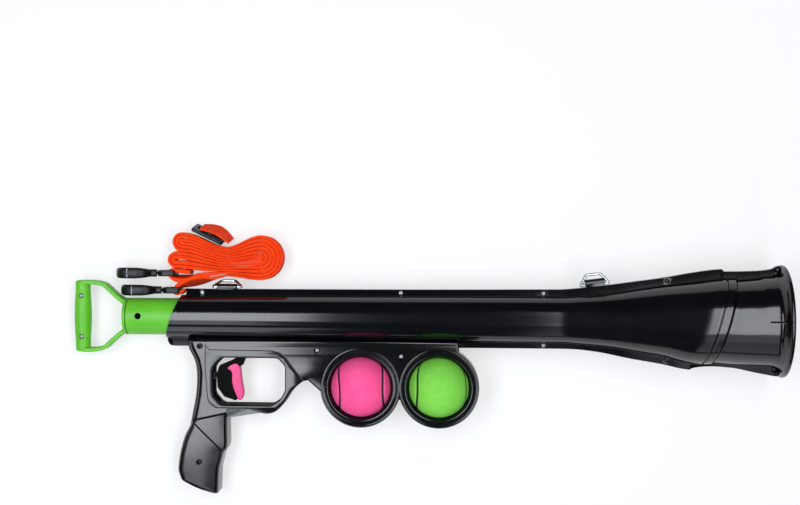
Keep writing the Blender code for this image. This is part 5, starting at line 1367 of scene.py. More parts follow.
@dataclass(frozen=True)
class Handle:
    """What slides out of the tail: green tube, arms and bar, with their screws."""

    finishes: Finishes
    body: str = "handle"
    rear: float = -0.0505
    front: float = 0.215
    radius: float = 0.0193
    bore: float = 0.0173
    hole: Flat = (-0.0363, 0.0015)
    recess: float = 0.0034
    arm_line: tuple[Flat, ...] = (
        (-0.0985, 0.0357), (-0.0920, 0.0357), (-0.0865, 0.0355), (-0.0820, 0.0349), (-0.0780, 0.0340),
        (-0.0745, 0.0324), (-0.0716, 0.0300), (-0.0660, 0.0247), (-0.0605, 0.0200), (-0.0550, 0.0160),
        (-0.0518, 0.0140),
    )
    strip_half: float = 0.0021
    strip_wide: float = 0.0082
    strip_corner: float = 0.0013
    bar_x: float = -0.09935
    bar_half: float = 0.0332
    screw_y: float = 0.0216

    def build(self) -> None:
        """Make the pieces and seat them on the handle."""
        green = self.finishes.get(Finish.GREEN)
        seat(self._tube(), self.body, green, ("draw_tube",), "green")
        seat(self._yoke(), self.body, green, ("handle_yoke",), "green")
        for side, node in ((1, "handle_grip_near"), (-1, "handle_grip_far")):
            seat(self._bar(side), self.body, green, (node,), "green")
        self._screws()

    def _tube(self) -> bpy.types.Object:
        """The draw tube with its screw's hole."""
        r, b = self.radius, self.bore
        profile = [(self.rear + 0.0008, b), (self.rear + 0.0008, r - 0.0004), (self.rear + 0.0012, r)]
        profile += [(x, r) for x in np.linspace(-0.045, self.front - 0.002, 26)]
        profile += [(self.front - 0.0005, r - 0.0005), (self.front - 0.0005, b)]
        profile += [(x, b) for x in np.linspace(self.front - 0.01, -0.045, 8)]
        tube = lathe("draw_tube_skin", profile, 112, "X", 40)
        return carved(tube, [rod(self.recess, (*self.hole, 0.010), (*self.hole, 0.030), 48)], 40)

    def _yoke(self) -> bpy.types.Object:
        """End flange, the plug's shoulder and the two arms."""
        r = self.radius
        start = self.rear - 0.0030
        shoulder = self.rear + 0.004
        profile = [
            (start, 0.0002), (start, r - 0.0007), (start + 0.0007, r), (self.rear, r), (self.rear, 0.0150),
            (shoulder, 0.0150), (shoulder, 0.0002),
        ]
        pieces = [lathe("yoke_flange", profile, 96, "X", 40)]
        line = flowing(self.arm_line, 6)
        for up in (1, -1):
            pieces.append(sweep(f"arm_{up}", [(x, up * y) for x, y in line], self._arm_section, 40))
        return merged("yoke_arms", pieces)

    def _arm_section(self, share: float) -> list[Flat]:
        """Rounded strip, wider and deeper where it meets the flange."""
        across = self.strip_half * (1 + 0.18 * float(smooth_step(0.75, 1.0, share)))
        up = self.strip_wide * (1 + 0.10 * float(smooth_step(0.7, 1.0, share)))
        e = self.strip_corner
        points = []
        for sx, sy, first in ((1, 1, 0), (-1, 1, 1), (-1, -1, 2), (1, -1, 3)):
            for a in np.linspace(first * math.pi / 2, (first + 1) * math.pi / 2, 5):
                points.append((sx * (across - e) + e * math.cos(a), sy * (up - e) + e * math.sin(a)))
        return points

    def _bar(self, side: int) -> bpy.types.Object:
        """Half of the hand bar, waisted, parted along the handle's middle plane."""
        n = self.bar_half + 0.0045
        profile = [(-n, 0.0001), (-n, 0.0055), (-n + 0.0008, 0.0070)]
        for y in np.linspace(-n + 0.002, n - 0.002, 34):
            share = abs(float(y)) / n
            swell = 0.0014 * math.cos(share * math.pi / 2) ** 2 + 0.0003 * share ** 6
            profile.append((float(y), 0.0076 + swell))
        profile += [(n - 0.0008, 0.0070), (n, 0.0055), (n, 0.0001)]
        whole = moved(lathe(f"bar_{side}", profile, 72, "Y", 40), Matrix.Translation((self.bar_x, 0, 0)))
        low, high = (0.0062, 0.020) if side > 0 else (-0.020, -0.0062)
        spots = [(self.bar_x, y) for y in (self.screw_y, -self.screw_y)]
        cutters = [upright_rod(self.recess, spot, low, high) for spot in spots]
        half = half_of(whole, "bar_near" if side > 0 else "bar_far", side)
        bpy.data.objects.remove(whole)
        return carved(half, cutters, 40)

    def _screws(self) -> None:
        """The two screws in the bar and the one in the tube's side."""
        steel, dark = self.finishes.get(Finish.FASTENER), self.finishes.get(Finish.BLACK_AND_SHADE)
        screw = Screw(radius=0.0024)
        for y, node in ((self.screw_y, "handle_screw_top"), (-self.screw_y, "handle_screw_bottom")):
            place = Matrix.Translation((self.bar_x, y, 0.00623))
            head = moved(screw.head(f"{node}_head", 0.7 + 40 * y), place)
            seat(head, self.body, steel, (node,), "steel")
        # Painted shade: a dark cup in the tube's screw hole, and a dark head on the screw in it.
        profile = [
            (0.0148, 0.0001), (0.0148, 0.0032), (0.0172, 0.0032), (0.0172, 0.0028), (0.0156, 0.0026),
            (0.0156, 0.0001),
        ]
        cup = moved(lathe("tube_screw_hole_shade", profile, 40, "Z", 40), Matrix.Translation((*self.hole, 0)))
        seat(cup, self.body, dark, (), "black_matt")
        head = moved(screw.head("tube_screw_head", 0.3), Matrix.Translation((*self.hole, 0.0158)))
        seat(head, self.body, dark, ("tube_screw",), "black_matt")


@dataclass(frozen=True)
class Trigger:
    """The pink blade and the black lever that carries it."""

    finishes: Finishes
    half: float = 0.0050
    outline: tuple[Flat, ...] = (
        (0.0556, -0.0544), (0.0585, -0.0505), (0.0642, -0.0488), (0.0672, -0.0500), (0.0688, -0.0530),
        (0.0706, -0.0670), (0.0722, -0.0760), (0.0726, -0.0800), (0.0716, -0.0845), (0.0693, -0.0876),
        (0.0672, -0.0872), (0.0656, -0.0840), (0.0626, -0.0775), (0.0602, -0.0680), (0.0600, -0.0590),
        (0.0588, -0.0566),
    )
    pivot: Flat = (0.0720, -0.0355)
    lever: tuple[Flat, ...] = (
        (0.0754, -0.0360), (0.0754, -0.0402), (0.0714, -0.0505), (0.0689, -0.0522), (0.0642, -0.0483),
        (0.0550, -0.0541), (0.0596, -0.0580), (0.0596, -0.0675), (0.0620, -0.0770), (0.0660, -0.0868),
        (0.0640, -0.0880), (0.0520, -0.0840), (0.0450, -0.0740), (0.0440, -0.0600), (0.0470, -0.0510),
        (0.0600, -0.0455), (0.0675, -0.0410), (0.0675, -0.0360),
    )

    def build(self) -> None:
        """Make the blade and the lever and seat them on the trigger."""
        loop = list(self.outline)
        line = flowing([loop[-1]] + loop + [loop[0], loop[1]], 6)[6:-7]
        blade = plate("blade", line, self.half, 0.0012, (), 4)
        seat(blade, "trigger", self.finishes.get(Finish.PINK), ("trigger_blade",), "pink")
        seat(self._lever(), "trigger", self.finishes.get(Finish.BLACK_AND_SHADE), ("trigger_lever",), "black_matt")

    def _lever(self) -> bpy.types.Object:
        """The lever with its boss on the pin and the finger that lifts the sear."""
        x, y = self.pivot
        body = plate("lever", rounded(self.lever, 0.0022, 5), self.half - 0.0002, 0.0007, (), 3)
        rib = [
            (0.0486, -0.0600), (0.0535, -0.0610), (0.0560, -0.0740), (0.0600, -0.0815), (0.0560, -0.0830),
            (0.0500, -0.0740),
        ]
        pocket = plate("pocket", rounded(rib, 0.002, 4), 0.0016, middle=self.half)
        body = carved(body, [pocket], 35)
        profile = [(-0.0049, 0.0010), (-0.0049, 0.0032), (0.0060, 0.0032), (0.0064, 0.0028), (0.0064, 0.0010)]
        boss = moved(lathe("lever_boss", profile, 48, "Z", 40), Matrix.Translation((x, y, 0)))
        stem = [
            (x - 0.0016, y), (x + 0.0016, y), (x + 0.0016, y + 0.0046), (0.0819, y + 0.0046),
            (0.0819, y + 0.0077), (x - 0.0016, y + 0.0077),
        ]
        finger = plate("lever_finger", rounded(stem, 0.0008, 4), 0.0013, 0.0003, (), 2, 0.0051)
        return merged("trigger_lever_body", [body, boss, finger])


@dataclass(frozen=True)
class Rings:
    """The two wire sling rings."""

    finishes: Finishes
    wire_radius: float = 0.0015
    corner: float = 0.0022
    height: float = 0.0108
    top_half: float = 0.0074
    front_frame: Matrix = Matrix((
        (0.99052, -0.125592, -0.0556, 0.174903), (0.123505, 0.991558, -0.0395, 0.101214),
        (0.060144, 0.03224, 0.99767, 0.048812), (0, 0, 0, 1),
    ))
    rear_frame: Matrix = Matrix.Translation((-0.208689, 0.095986, 0.027206)) @ LYING

    def build(self) -> None:
        """Make the rings and seat them."""
        steel = self.finishes.get(Finish.RING_WIRE)
        for name, half, droop, frame, body in (
            ("ring_front", 0.0149, math.radians(15), self.front_frame, "front_ring"),
            ("ring_rear", 0.0155, math.radians(58), self.rear_frame, "rear_ring"),
        ):
            item = wire(name, self._line(half), self.wire_radius, 6)
            moved(item, Euler((-droop, 0, 0)).to_matrix().to_4x4())
            node = "front_sling_ring" if body == "front_ring" else "rear_sling_ring"
            seat(item, body, steel, (node,), "steel", frame)

    def _line(self, half: float) -> list[Point]:
        """End in the lug, leg, bar, leg and end, with round corners."""
        corners = [Vector(p) for p in (
            (-half + 0.0068, 0, 0), (-half, 0, 0), (-self.top_half, self.height, 0),
            (self.top_half, self.height, 0), (half, 0, 0), (half - 0.0068, 0, 0),
        )]
        line = [tuple(corners[0])]
        for a, b, c in zip(corners, corners[1:], corners[2:]):
            start = b + (a - b).normalized() * self.corner
            end = b + (c - b).normalized() * self.corner
            for t in (k / 8 for k in range(9)):
                line.append(tuple((1 - t) ** 2 * start + 2 * t * (1 - t) * b + t * t * end))
        return line + [tuple(corners[-1])]


@dataclass(frozen=True)
class Ball:
    """A felt ball with the curved rubber seam of a tennis ball."""

    name: str
    node: str
    body: str
    centre: Point
    finish: Finish
    slot: str
    turn: Euler
    sway: float
    finishes: Finishes
    radius: float = 0.0315
    dip: float = 0.0013
    dip_edge: Flat = (0.0016, 0.0022)
    rubber: float = 0.0017
    rubber_sunk: float = 0.0019
    cover_steps: int = 7
    batch: int = 8000

    def _seam(self, t: np.ndarray) -> np.ndarray:
        """Unit vectors along the seam."""
        a, b = 1 - self.sway, self.sway
        x = a * np.cos(t) + b * np.cos(3 * t)
        y = a * np.sin(t) - b * np.sin(3 * t)
        z = 2 * math.sqrt(a * b) * np.sin(2 * t)
        line = np.stack((x, y, z), 1)
        return line / np.linalg.norm(line, axis=1)[:, None]

    def build(self) -> None:
        """Make the cover and the seam and seat them."""
        cover = ball_shape(self.name, self.radius, self.cover_steps)
        count = len(cover.data.vertices)
        places = np.empty(count * 3)
        cover.data.vertices.foreach_get("co", places)
        places = places.reshape(-1, 3) / self.radius
        seam = self._seam(np.linspace(0, 2 * math.pi, 400, endpoint=False))
        near = np.empty(count)
        for start in range(0, count, self.batch):
            some = slice(start, start + self.batch)
            near[some] = np.max(places[some] @ seam.T, axis=1)
        off = np.arccos(np.clip(near, -1, 1)) * self.radius
        dip = self.dip * (1 - smooth_step(*self.dip_edge, off))
        cover.data.vertices.foreach_set("co", (places * (self.radius - dip)[:, None]).ravel())
        cover.data.update()
        where = Matrix.Translation(self.centre) @ self.turn.to_matrix().to_4x4()
        seat(moved(cover, where), self.body, self.finishes.get(self.finish), (self.node,), self.slot)
        turns = np.linspace(0, 2 * math.pi, 300, endpoint=False)
        line = self._seam(turns) * (self.radius - self.rubber_sunk)
        rubber = curved(
            self.name + "_seam", [line], True, dimensions="3D", bevel_depth=self.rubber, bevel_resolution=4
        )
        seat(moved(rubber, where), self.body, self.finishes.get(Finish.SEAM), (), self.slot)


def balls(finishes: Finishes) -> list[Ball]:
    """The two balls of the thrower."""
    return [
        Ball(
            "ball_pink", "pink_ball", "rear_ball", (0.1964, -0.0720, 0.0015), Finish.PINK_FELT,
            "pink_rubber", Euler((0.04, 0.16, -math.pi / 4 + 0.03)), 0.14, finishes,
        ),
        Ball(
            "ball_green", "green_ball", "front_ball", (0.2781, -0.0720, 0.0015), Finish.GREEN_FELT,
            "green_rubber", Euler((-0.03, 0.25, -math.pi / 4 - 0.02)), 0.085, finishes,
        ),
    ]


# The strap


def blended(start: Flat, end: Flat, t: float) -> Flat:
    """A point at share t of the way along, level at both ends."""
    return start[0] + (end[0] - start[0]) * t, start[1] + (end[1] - start[1]) * t * t * (3 - 2 * t)


@dataclass(frozen=True)
class Hank:
    """Route of the folded webbing: twelve runs drawn in at a waist between rounded lobes."""

    width: float = 0.025
    thickness: float = 0.0020
    runs: int = 12
    waist: Flat = (0.0527, 0.05805)
    waist_pitch: float = 0.00266
    right: Flat = (0.0892, 0.0623)
    right_outer: float = 0.0227
    right_pitch: float = 0.0042
    upper: Flat = (0.006, 0.0789)
    upper_radii: tuple[float, ...] = (0.0089, 0.0053, 0.0017)
    lower: Flat = (-0.0005, 0.0598)
    lower_radii: Flat = (0.0073, 0.003)
    turn_steps: int = 7
    run_steps: int = 5
    order: tuple[int, ...] = (2, 5, 8, 9, 4, 3, 10, 7, 6, 1)
    first_end: tuple[Flat, ...] = ((0.0155, 0.0461), (0.009, 0.0473), (0.002, 0.0487))
    second_end: tuple[Flat, ...] = ((0.0385, 0.0395), (0.026, 0.0345), (0.014, 0.0317), (0.0075, 0.0314))
    second_return: tuple[Flat, ...] = ((0.0062, 0.0252), (0.0098, 0.0284))
    eyes: tuple[Flat, Flat] = ((-0.003, 0.0455), (0.002, 0.0275))
    wrap: float = 0.0041
    lift: float = 0.0036
    lift_full: float = 0.034
    lift_reach: float = 0.085

    def _waist_y(self, run: int) -> float:
        """Where a run crosses the waist."""
        return self.waist[1] + (0.5 * (self.runs + 1) - run) * self.waist_pitch

    def _right(self, run: int) -> float:
        """Signed radius of a run where it enters the right lobe."""
        pair = min(run, self.runs + 1 - run) - 1
        radius = self.right_outer - pair * self.right_pitch
        return radius if run <= self.runs // 2 else -radius

    def _left(self, run: int) -> tuple[Flat, float]:
        """Centre and signed radius of a run where it enters a left lobe."""
        if run <= 3:
            return self.upper, self.upper_radii[run - 1]
        if run <= 6:
            return self.upper, -self.upper_radii[6 - run]
        if run <= 8:
            return self.lower, self.lower_radii[run - 7]
        return self.lower, -self.lower_radii[10 - run]

    def _half(self, run: int, right: bool) -> list[Flat]:
        """Points of a run from the waist towards a lobe, waist point left out."""
        if right:
            end = (self.right[0], self.right[1] + self._right(run))
        else:
            (x, y), radius = self._left(run)
            end = (x, y + radius)
        start = (self.waist[0], self._waist_y(run))
        return [blended(start, end, i / self.run_steps) for i in range(1, self.run_steps + 1)]

    def _turn(self, centre: Flat, radius: float, right: bool) -> list[Flat]:
        """Inner points of a half turn."""
        points = []
        for i in range(1, self.turn_steps):
            angle = math.pi * i / self.turn_steps
            along = math.sin(angle) * abs(radius)
            points.append((centre[0] + (along if right else -along), centre[1] + math.cos(angle) * radius))
        return points

    def line(self) -> list[Flat]:
        """Middle line of the webbing from one hook's eye to the other's.

        Returns:
            Its points in the strap's frame.
        """
        points = list(self.first_end)
        points += arc(self.eyes[0], self.wrap, math.radians(90), math.radians(270), 6)
        last, waist = points[-1], (self.waist[0], self._waist_y(11))
        points += [blended(last, waist, i / self.run_steps) for i in range(1, self.run_steps)]
        points.append(waist)
        points += self._half(11, True)
        points += self._turn(self.right, self._right(11), True)
        right = False
        for run in self.order:
            points += self._half(run, not right)[::-1]
            points.append((self.waist[0], self._waist_y(run)))
            points += self._half(run, right)
            centre, radius = (self.right, self._right(run)) if right else self._left(run)
            points += self._turn(centre, radius, right)
            right = not right
        points += self._half(12, True)[::-1]
        points.append((self.waist[0], self._waist_y(12)))
        points += self.second_end
        points += arc(self.eyes[1], self.wrap, math.radians(90), math.radians(270), 6)
        points += self.second_return
        return points

    def length(self) -> float:
        """Length of the middle line."""
        return line_length(self.line())


def fullness(path: Sequence[Flat], thickness: float, most: float, inner: float) -> list[Flat]:
    """How far soft webbing swells towards its neighbours on each side.

    Args:
        path: the line of the webbing.
        thickness: its thickness where it lies free.
        most: the most that one side swells to.
        inner: the most towards the other side of its own tight fold.

    Returns:
        The left and right half thickness at each point.
    """
    own, level, fold, air = 0.007, 0.0024, 0.055, 0.00004
    line = np.array(path)
    ahead = np.gradient(line, axis=0)
    ahead /= np.linalg.norm(ahead, axis=1)[:, None]
    side = np.stack((-ahead[:, 1], ahead[:, 0]), 1)
    run = np.concatenate(([0], np.cumsum(np.linalg.norm(np.diff(line, axis=0), axis=1))))
    halves = np.full((len(line), 2), 0.5 * thickness)
    for i, p in enumerate(line):
        apart = np.abs(run - run[i])
        gap = line - p
        along, across = gap @ ahead[i], gap @ side[i]
        near = (apart > own) & (np.abs(along) < level)
        for column, sign in enumerate((1, -1)):
            beside = near & (across * sign > 0)
            if not beside.any():
                continue
            nearest = np.flatnonzero(beside)[np.argmin(across[beside] * sign)]
            limit = inner if apart[nearest] < fold else most
            halves[i, column] = min(max(0.5 * across[nearest] * sign - air, 0.5 * thickness), limit)
    padded = np.pad(halves, ((1, 1), (0, 0)), "edge")
    least = np.array([padded[i:i + 3].min(0) for i in range(len(line))])
    padded = np.pad(least, ((1, 1), (0, 0)), "edge")
    soft = np.array([padded[i:i + 3].mean(0) for i in range(len(line))])
    return [tuple(row) for row in np.minimum(soft, halves)]


def ribbon(
    name: str,
    path: Sequence[Flat],
    low: Sequence[float],
    high: Sequence[Point],
    thickness: float,
    halves: Sequence[Flat] | None = None,
) -> bpy.types.Object:
    """Webbing of a rounded section, with coordinates in metres for its weave.

    Args:
        name: the object's name.
        path: the line of its lower edge.
        low: height of the lower edge at each point.
        high: the upper edge at each point.
        thickness: of the webbing.
        halves: left and right half thickness at each point, where it varies.

    Returns:
        The webbing as a closed mesh.
    """
    half = 0.5 * thickness
    levels = [0.0, 0.012, 0.04, 0.2, 0.4, 0.6, 0.8, 0.96, 0.988, 1.0]
    pinch = [0.6, 0.9, 1.0, 1.0, 1.0, 1.0, 1.0, 1.0, 0.9, 0.6]
    section = [(1, t, p) for t, p in zip(levels, pinch)]
    section += [(-1, t, p) for _, t, p in section[::-1]]
    rings, travelled = [], [0.0]
    count = len(path)
    for i, p in enumerate(path):
        a, b = Vector(path[max(i - 1, 0)]), Vector(path[min(i + 1, count - 1)])
        ahead = (b - a).normalized()
        side = (-ahead.y, ahead.x)
        if i:
            travelled.append(travelled[-1] + math.dist(p, path[i - 1]))
        base, top = np.array((p[0], p[1], low[i])), np.array(high[i])
        left, right = halves[i] if halves else (half, half)
        across = np.array((side[0], side[1], 0))
        swell = {1: left, -1: right}
        rings.append([base + (top - base) * t + across * (s * k * swell[s]) for s, t, k in section])
    size = len(section)
    corners = [tuple(c) for ring in rings for c in ring]
    width = math.dist((*path[0], low[0]), high[0])
    around = [0.0]
    for (s0, t0, k0), (s1, t1, k1) in zip(section, section[1:] + section[:1]):
        around.append(around[-1] + math.hypot((t1 - t0) * width, (s1 * k1 - s0 * k0) * half))
    faces, flats = grid(count, size), []
    for u0, u1 in zip(travelled, travelled[1:]):
        for v0, v1 in zip(around, around[1:]):
            flats.append(((u0, v0), (u0, v1), (u1, v1), (u1, v0)))
    faces.append(tuple(range(size))[::-1])
    flats.append(tuple((travelled[0], a) for a in around[:size])[::-1])
    last = (count - 1) * size
    faces.append(tuple(range(last, last + size)))
    flats.append(tuple((travelled[-1], a) for a in around[:size]))
    mesh = bpy.data.meshes.new(name)
    mesh.from_pydata(corners, [], faces)
    layer = mesh.uv_layers.new(name="metres")
    for face, flat in zip(mesh.polygons, flats):
        for loop, uv in zip(face.loop_indices, flat):
            layer.data[loop].uv = uv
    return shaded(linked(name, mesh), 60)


@dataclass(frozen=True)
class Strap:
    """The folded webbing with its slider, its short loop and its two snap hooks."""

    finishes: Finishes
    hank: Hank = Hank()
    slider_place: Matrix = (
        Matrix.Translation((-0.228985, 0.153825, 0)) @ Matrix.Rotation(math.radians(-26), 4, "Z")
    )
    slider_size: Point = (0.036, 0.004, 0.0235)
    slider_rail: float = 0.0045
    slider_lean: float = math.radians(14)
    loop_length: float = 0.034
    loop_bulge: float = 0.0056

    def build(self) -> None:
        webbing = self._webbing()
        others = [self._loop(), self._slider()]
        for number, bar in enumerate(self.hank.eyes, 1):
            others += SnapHook(number, bar, self.finishes).build()
        self.hank.length()

    def _webbing(self) -> bpy.types.Object:
        """The long webbing, standing on its edge."""
        hank = self.hank
        line = flowing(hank.line(), 4)
        length = line_length(line)
        low, high, run = [], [], 0.0
        for i, p in enumerate(line):
            run += math.dist(p, line[i - 1]) if i else 0.0
            share = (hank.lift_reach - min(run, length - run)) / (hank.lift_reach - hank.lift_full)
            lift = hank.lift * float(smooth_step(0, 1, share))
            sway = 0.0006 * math.sin(run * 61.0) + 0.0004 * math.sin(run * 143.0 + 1.0)
            lean = self._lean(run, length)
            low.append(lift + 0.0001)
            rise = hank.width + lift + 0.5 * sway - 8.0 * lean * lean
            high.append((p[0] - 0.2 * lean, p[1] + lean, rise))
        halves = fullness(line, hank.thickness, 0.0024, 0.0025)
        item = ribbon("strap_webbing_folded", line, low, high, hank.thickness, halves)
        orange = self.finishes.get(Finish.STRAP)
        return seat(item, "strap", orange, ("strap_webbing",), "orange_webbing", STRAP)

    def _lean(self, run: float, length: float) -> float:
        """How far the upper edge leans sideways near the ends, where the webbing twists to its hooks."""
        far = length - run
        first = -0.0040 * math.sin(math.pi * min(max((run - 0.026) / 0.030, 0.0), 1.0))
        second = 0.0070 * math.sin(math.pi * min(max((far - 0.021) / 0.040, 0.0), 1.0))
        return first + second

    def _loop(self) -> bpy.types.Object:
        """The short loop that bulges beside the slider."""
        path, high = [], []
        height = 0.9 * self.hank.width
        base = 0.5 * self.slider_size[1] + 0.0018
        top = base - height * math.tan(self.slider_lean)
        for i in range(33):
            share = i / 32
            x = 0.007 + (share - 0.5) * self.loop_length
            bulge = self.loop_bulge * math.sin(math.pi * share)
            path.append((x, base + bulge))
            high.append((x, top + 0.45 * bulge, height))
        item = ribbon("strap_short_loop", path, [0.001] * len(path), high, self.hank.thickness)
        orange = self.finishes.get(Finish.STRAP)
        return seat(item, "strap", orange, ("strap_loop",), "orange_webbing", self.slider_place)

    def _slider(self) -> bpy.types.Object:
        """The three-bar slider, rounded, lying over at its lean."""
        length, depth, width = self.slider_size
        half, rail = 0.5 * length, self.slider_rail
        outline = rounded([(-half, 0), (half, 0), (half, width), (-half, width)], 0.003, 6)
        near, far = 0.5 * rail, 0.5 * (length - 2 * rail)
        low, high = 0.3 * width, 0.72 * width
        holes = []
        for a, b in ((-far, -near), (near, far)):
            holes.append(rounded([(a, low), (b, low), (b, high), (a, high)], 0.0012, 4))
        item = plate("strap_slider_frame", outline, 0.5 * depth, 0.0011, holes, 3)
        lift = 0.5 * depth * math.sin(self.slider_lean) + 0.0002
        moved(item, STANDING, Matrix.Rotation(self.slider_lean, 4, "X"), Matrix.Translation((0, 0, lift)))
        black = self.finishes.get(Finish.MATT)
        return seat(item, "strap", black, ("strap_slider",), "black_matt", self.slider_place)


@dataclass(frozen=True)
class SnapHook:
    """A moulded snap hook: eye, swivelling hook and a rivet across the hook."""

    number: int
    bar: Flat
    finishes: Finishes
    height: float = 0.032
    depth: float = 0.011
    thick: float = 0.0066
    rail: float = 0.003
    bar_radius: float = 0.0025
    pin_reach: float = 0.003
    pin_bore: float = 0.0020
    rivet_place: Flat = (-0.0478, 0.0133)
    rivet_half: float = 0.0044
    length: float = 0.058
    wire: float = 0.0042
    span: float = 0.022
    route: tuple[Flat, ...] = (
        (0.0, 0.0), (0.16, 0.0), (0.32, 0.38), (0.58, 0.44), (0.84, 0.34), (0.93, 0.0), (0.84, -0.34),
        (0.62, -0.44),
    )

    def build(self) -> list[bpy.types.Object]:
        """Make the hook's pieces and seat them.

        Returns:
            The pieces.
        """
        place = STRAP @ Matrix.Translation((self.bar[0], self.bar[1], 0.5 * self.height))
        matt = self.finishes.get(Finish.MATT)
        name = f"hook_{self.number}"
        node = f"snap_hook_{self.number}_"
        eye = seat(self._eye(), "strap", matt, (node + "eye",), "black_matt", place)
        hook = seat(self._hook(), name, matt, (node + "body",), "black_matt", place)
        x, z = self.rivet_place
        rivet = rod(0.0010, (x, -self.rivet_half, z), (x, self.rivet_half, z), 20)
        rivet.name = f"{name}_rivet"
        seat(rivet, name, self.finishes.get(Finish.FASTENER), (), "steel", place)
        return [eye, hook, rivet]

    def _eye(self) -> bpy.types.Object:
        """The frame that the webbing passes through."""
        half, back = 0.5 * self.height, self.depth + 2 * self.bar_radius
        outline = [
            (-back, -half + 0.006), (-back, half - 0.006), (-self.depth, half), (self.bar_radius, half),
            (self.bar_radius, -half), (-self.depth, -half),
        ]
        low, high, front, rear = -half + self.rail, half - self.rail, -self.bar_radius, -self.depth + 0.0015
        hole = rounded([(rear, low), (front, low), (front, high), (rear, high)], 0.002, 5)
        frame = moved(plate("eye", rounded(outline, 0.003, 6), 0.5 * self.thick, 0.0013, [hole], 4), STANDING)
        frame.name = f"hook_eye_{self.number}"
        inside = -back + self.pin_reach + 0.0001
        tools = [rod(self.pin_bore, (-back - 0.002, 0, 0), (inside, 0, 0))]
        for side in (1, -1):
            aside = Matrix.Translation((0, side * (self.bar_radius + 0.002), 0))
            tools.append(moved(box("trim", (-0.0055, low), (0.004, high), 0.002), STANDING, aside))
        return carved(frame, tools, 40)

    def _hook(self) -> bpy.types.Object:
        """The hook's body, from its neck round to its nose."""
        back = self.depth + 2 * self.bar_radius
        neck = -(back + self.pin_reach)
        reach = self.length + neck + self.bar_radius
        line = flowing([(neck - a * reach, b * self.span) for a, b in self.route])
        hook = moved(sweep(f"hook_body_{self.number}", line, self._section, 50), STANDING)
        return carved(hook, [rod(self.pin_bore, (neck - 0.0037, 0, 0), (neck + 0.002, 0, 0))], 50)

    def _section(self, share: float) -> list[Flat]:
        """Moulded section with soft corners, thinner at the nose."""
        r = self.wire * (1 - 0.22 * float(smooth_step(0.6, 1.0, share)))
        wide = 1 + 0.45 * float(smooth_step(0.12, 0.4, share) * (1 - smooth_step(0.75, 1.0, share)))
        points = []
        for a in np.linspace(0, 2 * math.pi, 28, endpoint=False):
            c, s = math.cos(a), math.sin(a)
            size = (abs(c) ** 3 + abs(s) ** 3) ** (-1 / 3)
            points.append((0.92 * r * size * c, 0.95 * wide * r * size * s))
        return points


# What the object stands on, its light and its camera


@dataclass(frozen=True)
class Panel:
    """A soft light panel that faces a point."""

    name: str
    place: Point
    aim: Point
    size: Flat
    power: float
    tint: Point = (1.0, 1.0, 1.0)

    def build(self) -> None:
        """Hang the panel."""
        data = bpy.data.lights.new(self.name, "AREA")
        data.shape = "RECTANGLE"
        data.size, data.size_y = self.size
        data.energy = self.power
        data.color = self.tint
        item = linked(self.name, data)
        item.location = self.place
        away = Vector(self.place) - Vector(self.aim)
        item.rotation_euler = away.to_track_quat("Z", "Y").to_euler()


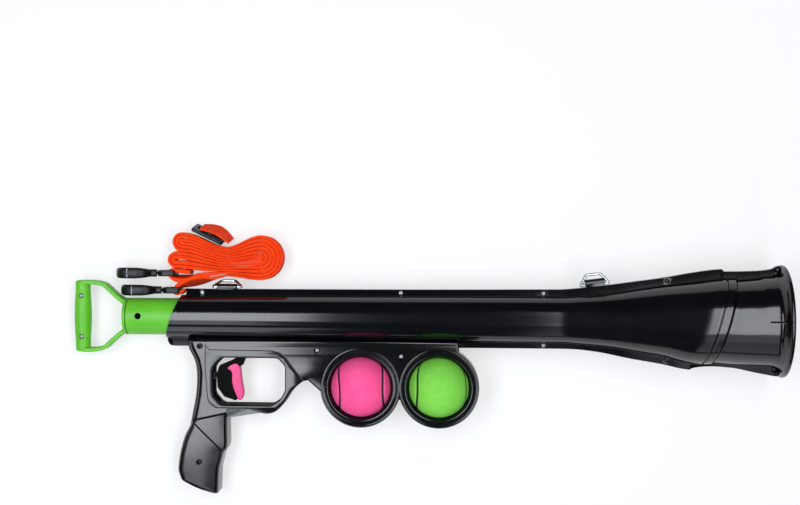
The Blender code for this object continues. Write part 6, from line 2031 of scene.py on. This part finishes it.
class Studio:
    """Floor, soft panels, surrounding light and the camera above."""

    floor_span = 3.0
    floor_glow = 0.55

    def __init__(self) -> None:
        """Name the panels."""
        cool, cold = (0.94, 0.98, 1.03), (0.90, 0.98, 1.06)
        self.panels = (
            Panel("panel_left", (-0.69, 0.13, 1.50), (-0.69, 0.13, 0.0), (0.56, 1.10), 15.6, cool),
            Panel("panel_left_low", (-0.77, -0.83, 1.50), (-0.77, -0.83, 0.0), (0.46, 0.78), 2.8, cold),
            Panel("panel_right", (0.40, 0.19, 1.50), (0.40, 0.19, 0.0), (0.45, 1.95), 17.8, cool),
            Panel("panel_right_low", (0.40, -1.38, 1.50), (0.40, -1.38, 0.0), (0.45, 1.10), 1.9, cold),
            Panel("wall_left", (-0.80, -2.00, 0.85), (-0.80, 0.0, 0.85), (0.60, 1.30), 5.2, cold),
            Panel("wall_right", (0.42, -2.00, 0.85), (0.42, 0.0, 0.85), (0.50, 1.30), 1.7, cold),
            Panel("panel_end_right", (1.75, 0.10, 1.35), (0.1, 0.05, 0.0), (0.9, 1.6), 2.5),
            Panel("panel_end_left", (-1.95, 0.15, 1.30), (-0.1, 0.05, 0.0), (0.8, 1.6), 2.0),
        )

    def build(self) -> None:
        """Make them all."""
        bpy.context.scene.view_settings.view_transform = "Standard"
        self._floor()
        self._world()
        for panel in self.panels:
            panel.build()
        self._camera()

    def _floor(self) -> None:
        """A wide pale sheet with a faint grain."""
        g = Graph("floor_paper")
        grain = g.noise(0.0015, 4, 0.6)
        g.set(Base_Color=g.mixed(g.noise(0.3, 2, 0.5) * 0.5 + grain * 0.3, "#F6F6F6", "#F2F2F2"))
        g.set(Roughness=0.85 + grain * 0.1, Normal=g.bump(grain, 0.00003))
        g.set(Specular_IOR_Level=0.2)
        glow = g.node("ShaderNodeEmission", sockets={0: (1.0, 1.0, 1.0, 1.0)})
        kinds = ("Camera", "Glossy", "Transmission")
        rays = [g.node("ShaderNodeLightPath", output=f"Is {kind} Ray") for kind in kinds]
        seen = rays[0].most(rays[1]).most(rays[2]) * self.floor_glow
        lit = Socket(g, g.shader.outputs[0])
        g.feed(g.end.inputs[0], g.node("ShaderNodeMixShader", sockets={0: seen, 1: lit, 2: glow}))
        mesh = bpy.data.meshes.new("floor")
        ticks = np.linspace(-self.floor_span, self.floor_span, 13)
        row = len(ticks)
        corners = [(x, y, -0.0002) for y in ticks for x in ticks]
        starts = [j * row + i for j in range(row - 1) for i in range(row - 1)]
        mesh.from_pydata(corners, [], [(k, k + 1, k + row + 1, k + row) for k in starts])
        mesh.materials.append(g.material)
        linked("floor", mesh)

    def _world(self) -> None:
        """Faint even light from all round."""
        world = bpy.data.worlds.new("studio")
        bpy.context.scene.world = world
        world.use_nodes = True
        tree = world.node_tree
        tree.nodes.clear()
        end = tree.nodes.new("ShaderNodeOutputWorld")
        back = tree.nodes.new("ShaderNodeBackground")
        back.inputs[0].default_value = (0.88, 0.97, 1.1, 1)
        back.inputs[1].default_value = 0.05
        tree.links.new(back.outputs[0], end.inputs[0])

    def _camera(self) -> None:
        """The camera straight above, as the photograph was framed."""
        data = bpy.data.cameras.new("camera")
        data.lens = 60
        data.sensor_width = 36
        data.clip_end = 20
        camera = linked("camera", data)
        camera.location = (-0.02705, 0.13312, 1.4310)
        camera.rotation_euler = (0, 0, 0.005585)
        bpy.context.scene.camera = camera


# The nodes that keep their CAD shape


def finish_kept_nodes(finishes: Finishes, nodes: dict[str, bpy.types.Object]) -> None:
    """Give each CAD node a procedural finish by its name; the replaced ones stay hidden.

    Args:
        finishes: maker of the finishes.
        nodes: the frame's nodes.
    """
    rules = (
        ("spring", Finish.SPRING), ("screw", Finish.FASTENER), ("swivel", Finish.MATT),
        ("pin", Finish.SPRING), ("rod", Finish.FASTENER), ("gate", Finish.MATT), ("pad", Finish.PAD),
        ("cup", Finish.NYLON), ("plug", Finish.NYLON), ("collar", Finish.NYLON), ("sear", Finish.NYLON),
    )
    for name, node in nodes.items():
        finish = next((f for word, f in rules if word in name), Finish.MATT)
        for place in node.material_slots:
            place.material = finishes.get(finish)
        log.info("%s keeps its CAD shape: %s", name, finish.name)


def main() -> None:
    """Build the whole scene."""
    logging.basicConfig(level=logging.INFO, format="%(message)s")
    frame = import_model()
    finishes = Finishes()
    Studio().build()
    barrel = Barrel(finishes)
    makers = [barrel, Fasteners(finishes, barrel), Frame(finishes), Handle(finishes), Trigger(finishes)]
    makers += [Rings(finishes), *balls(finishes), Strap(finishes)]
    for maker in makers:
        maker.build()
        log.info("built %s", type(maker).__name__)
    finish_kept_nodes(finishes, frame["nodes"])


if __name__ == "__main__":
    main()
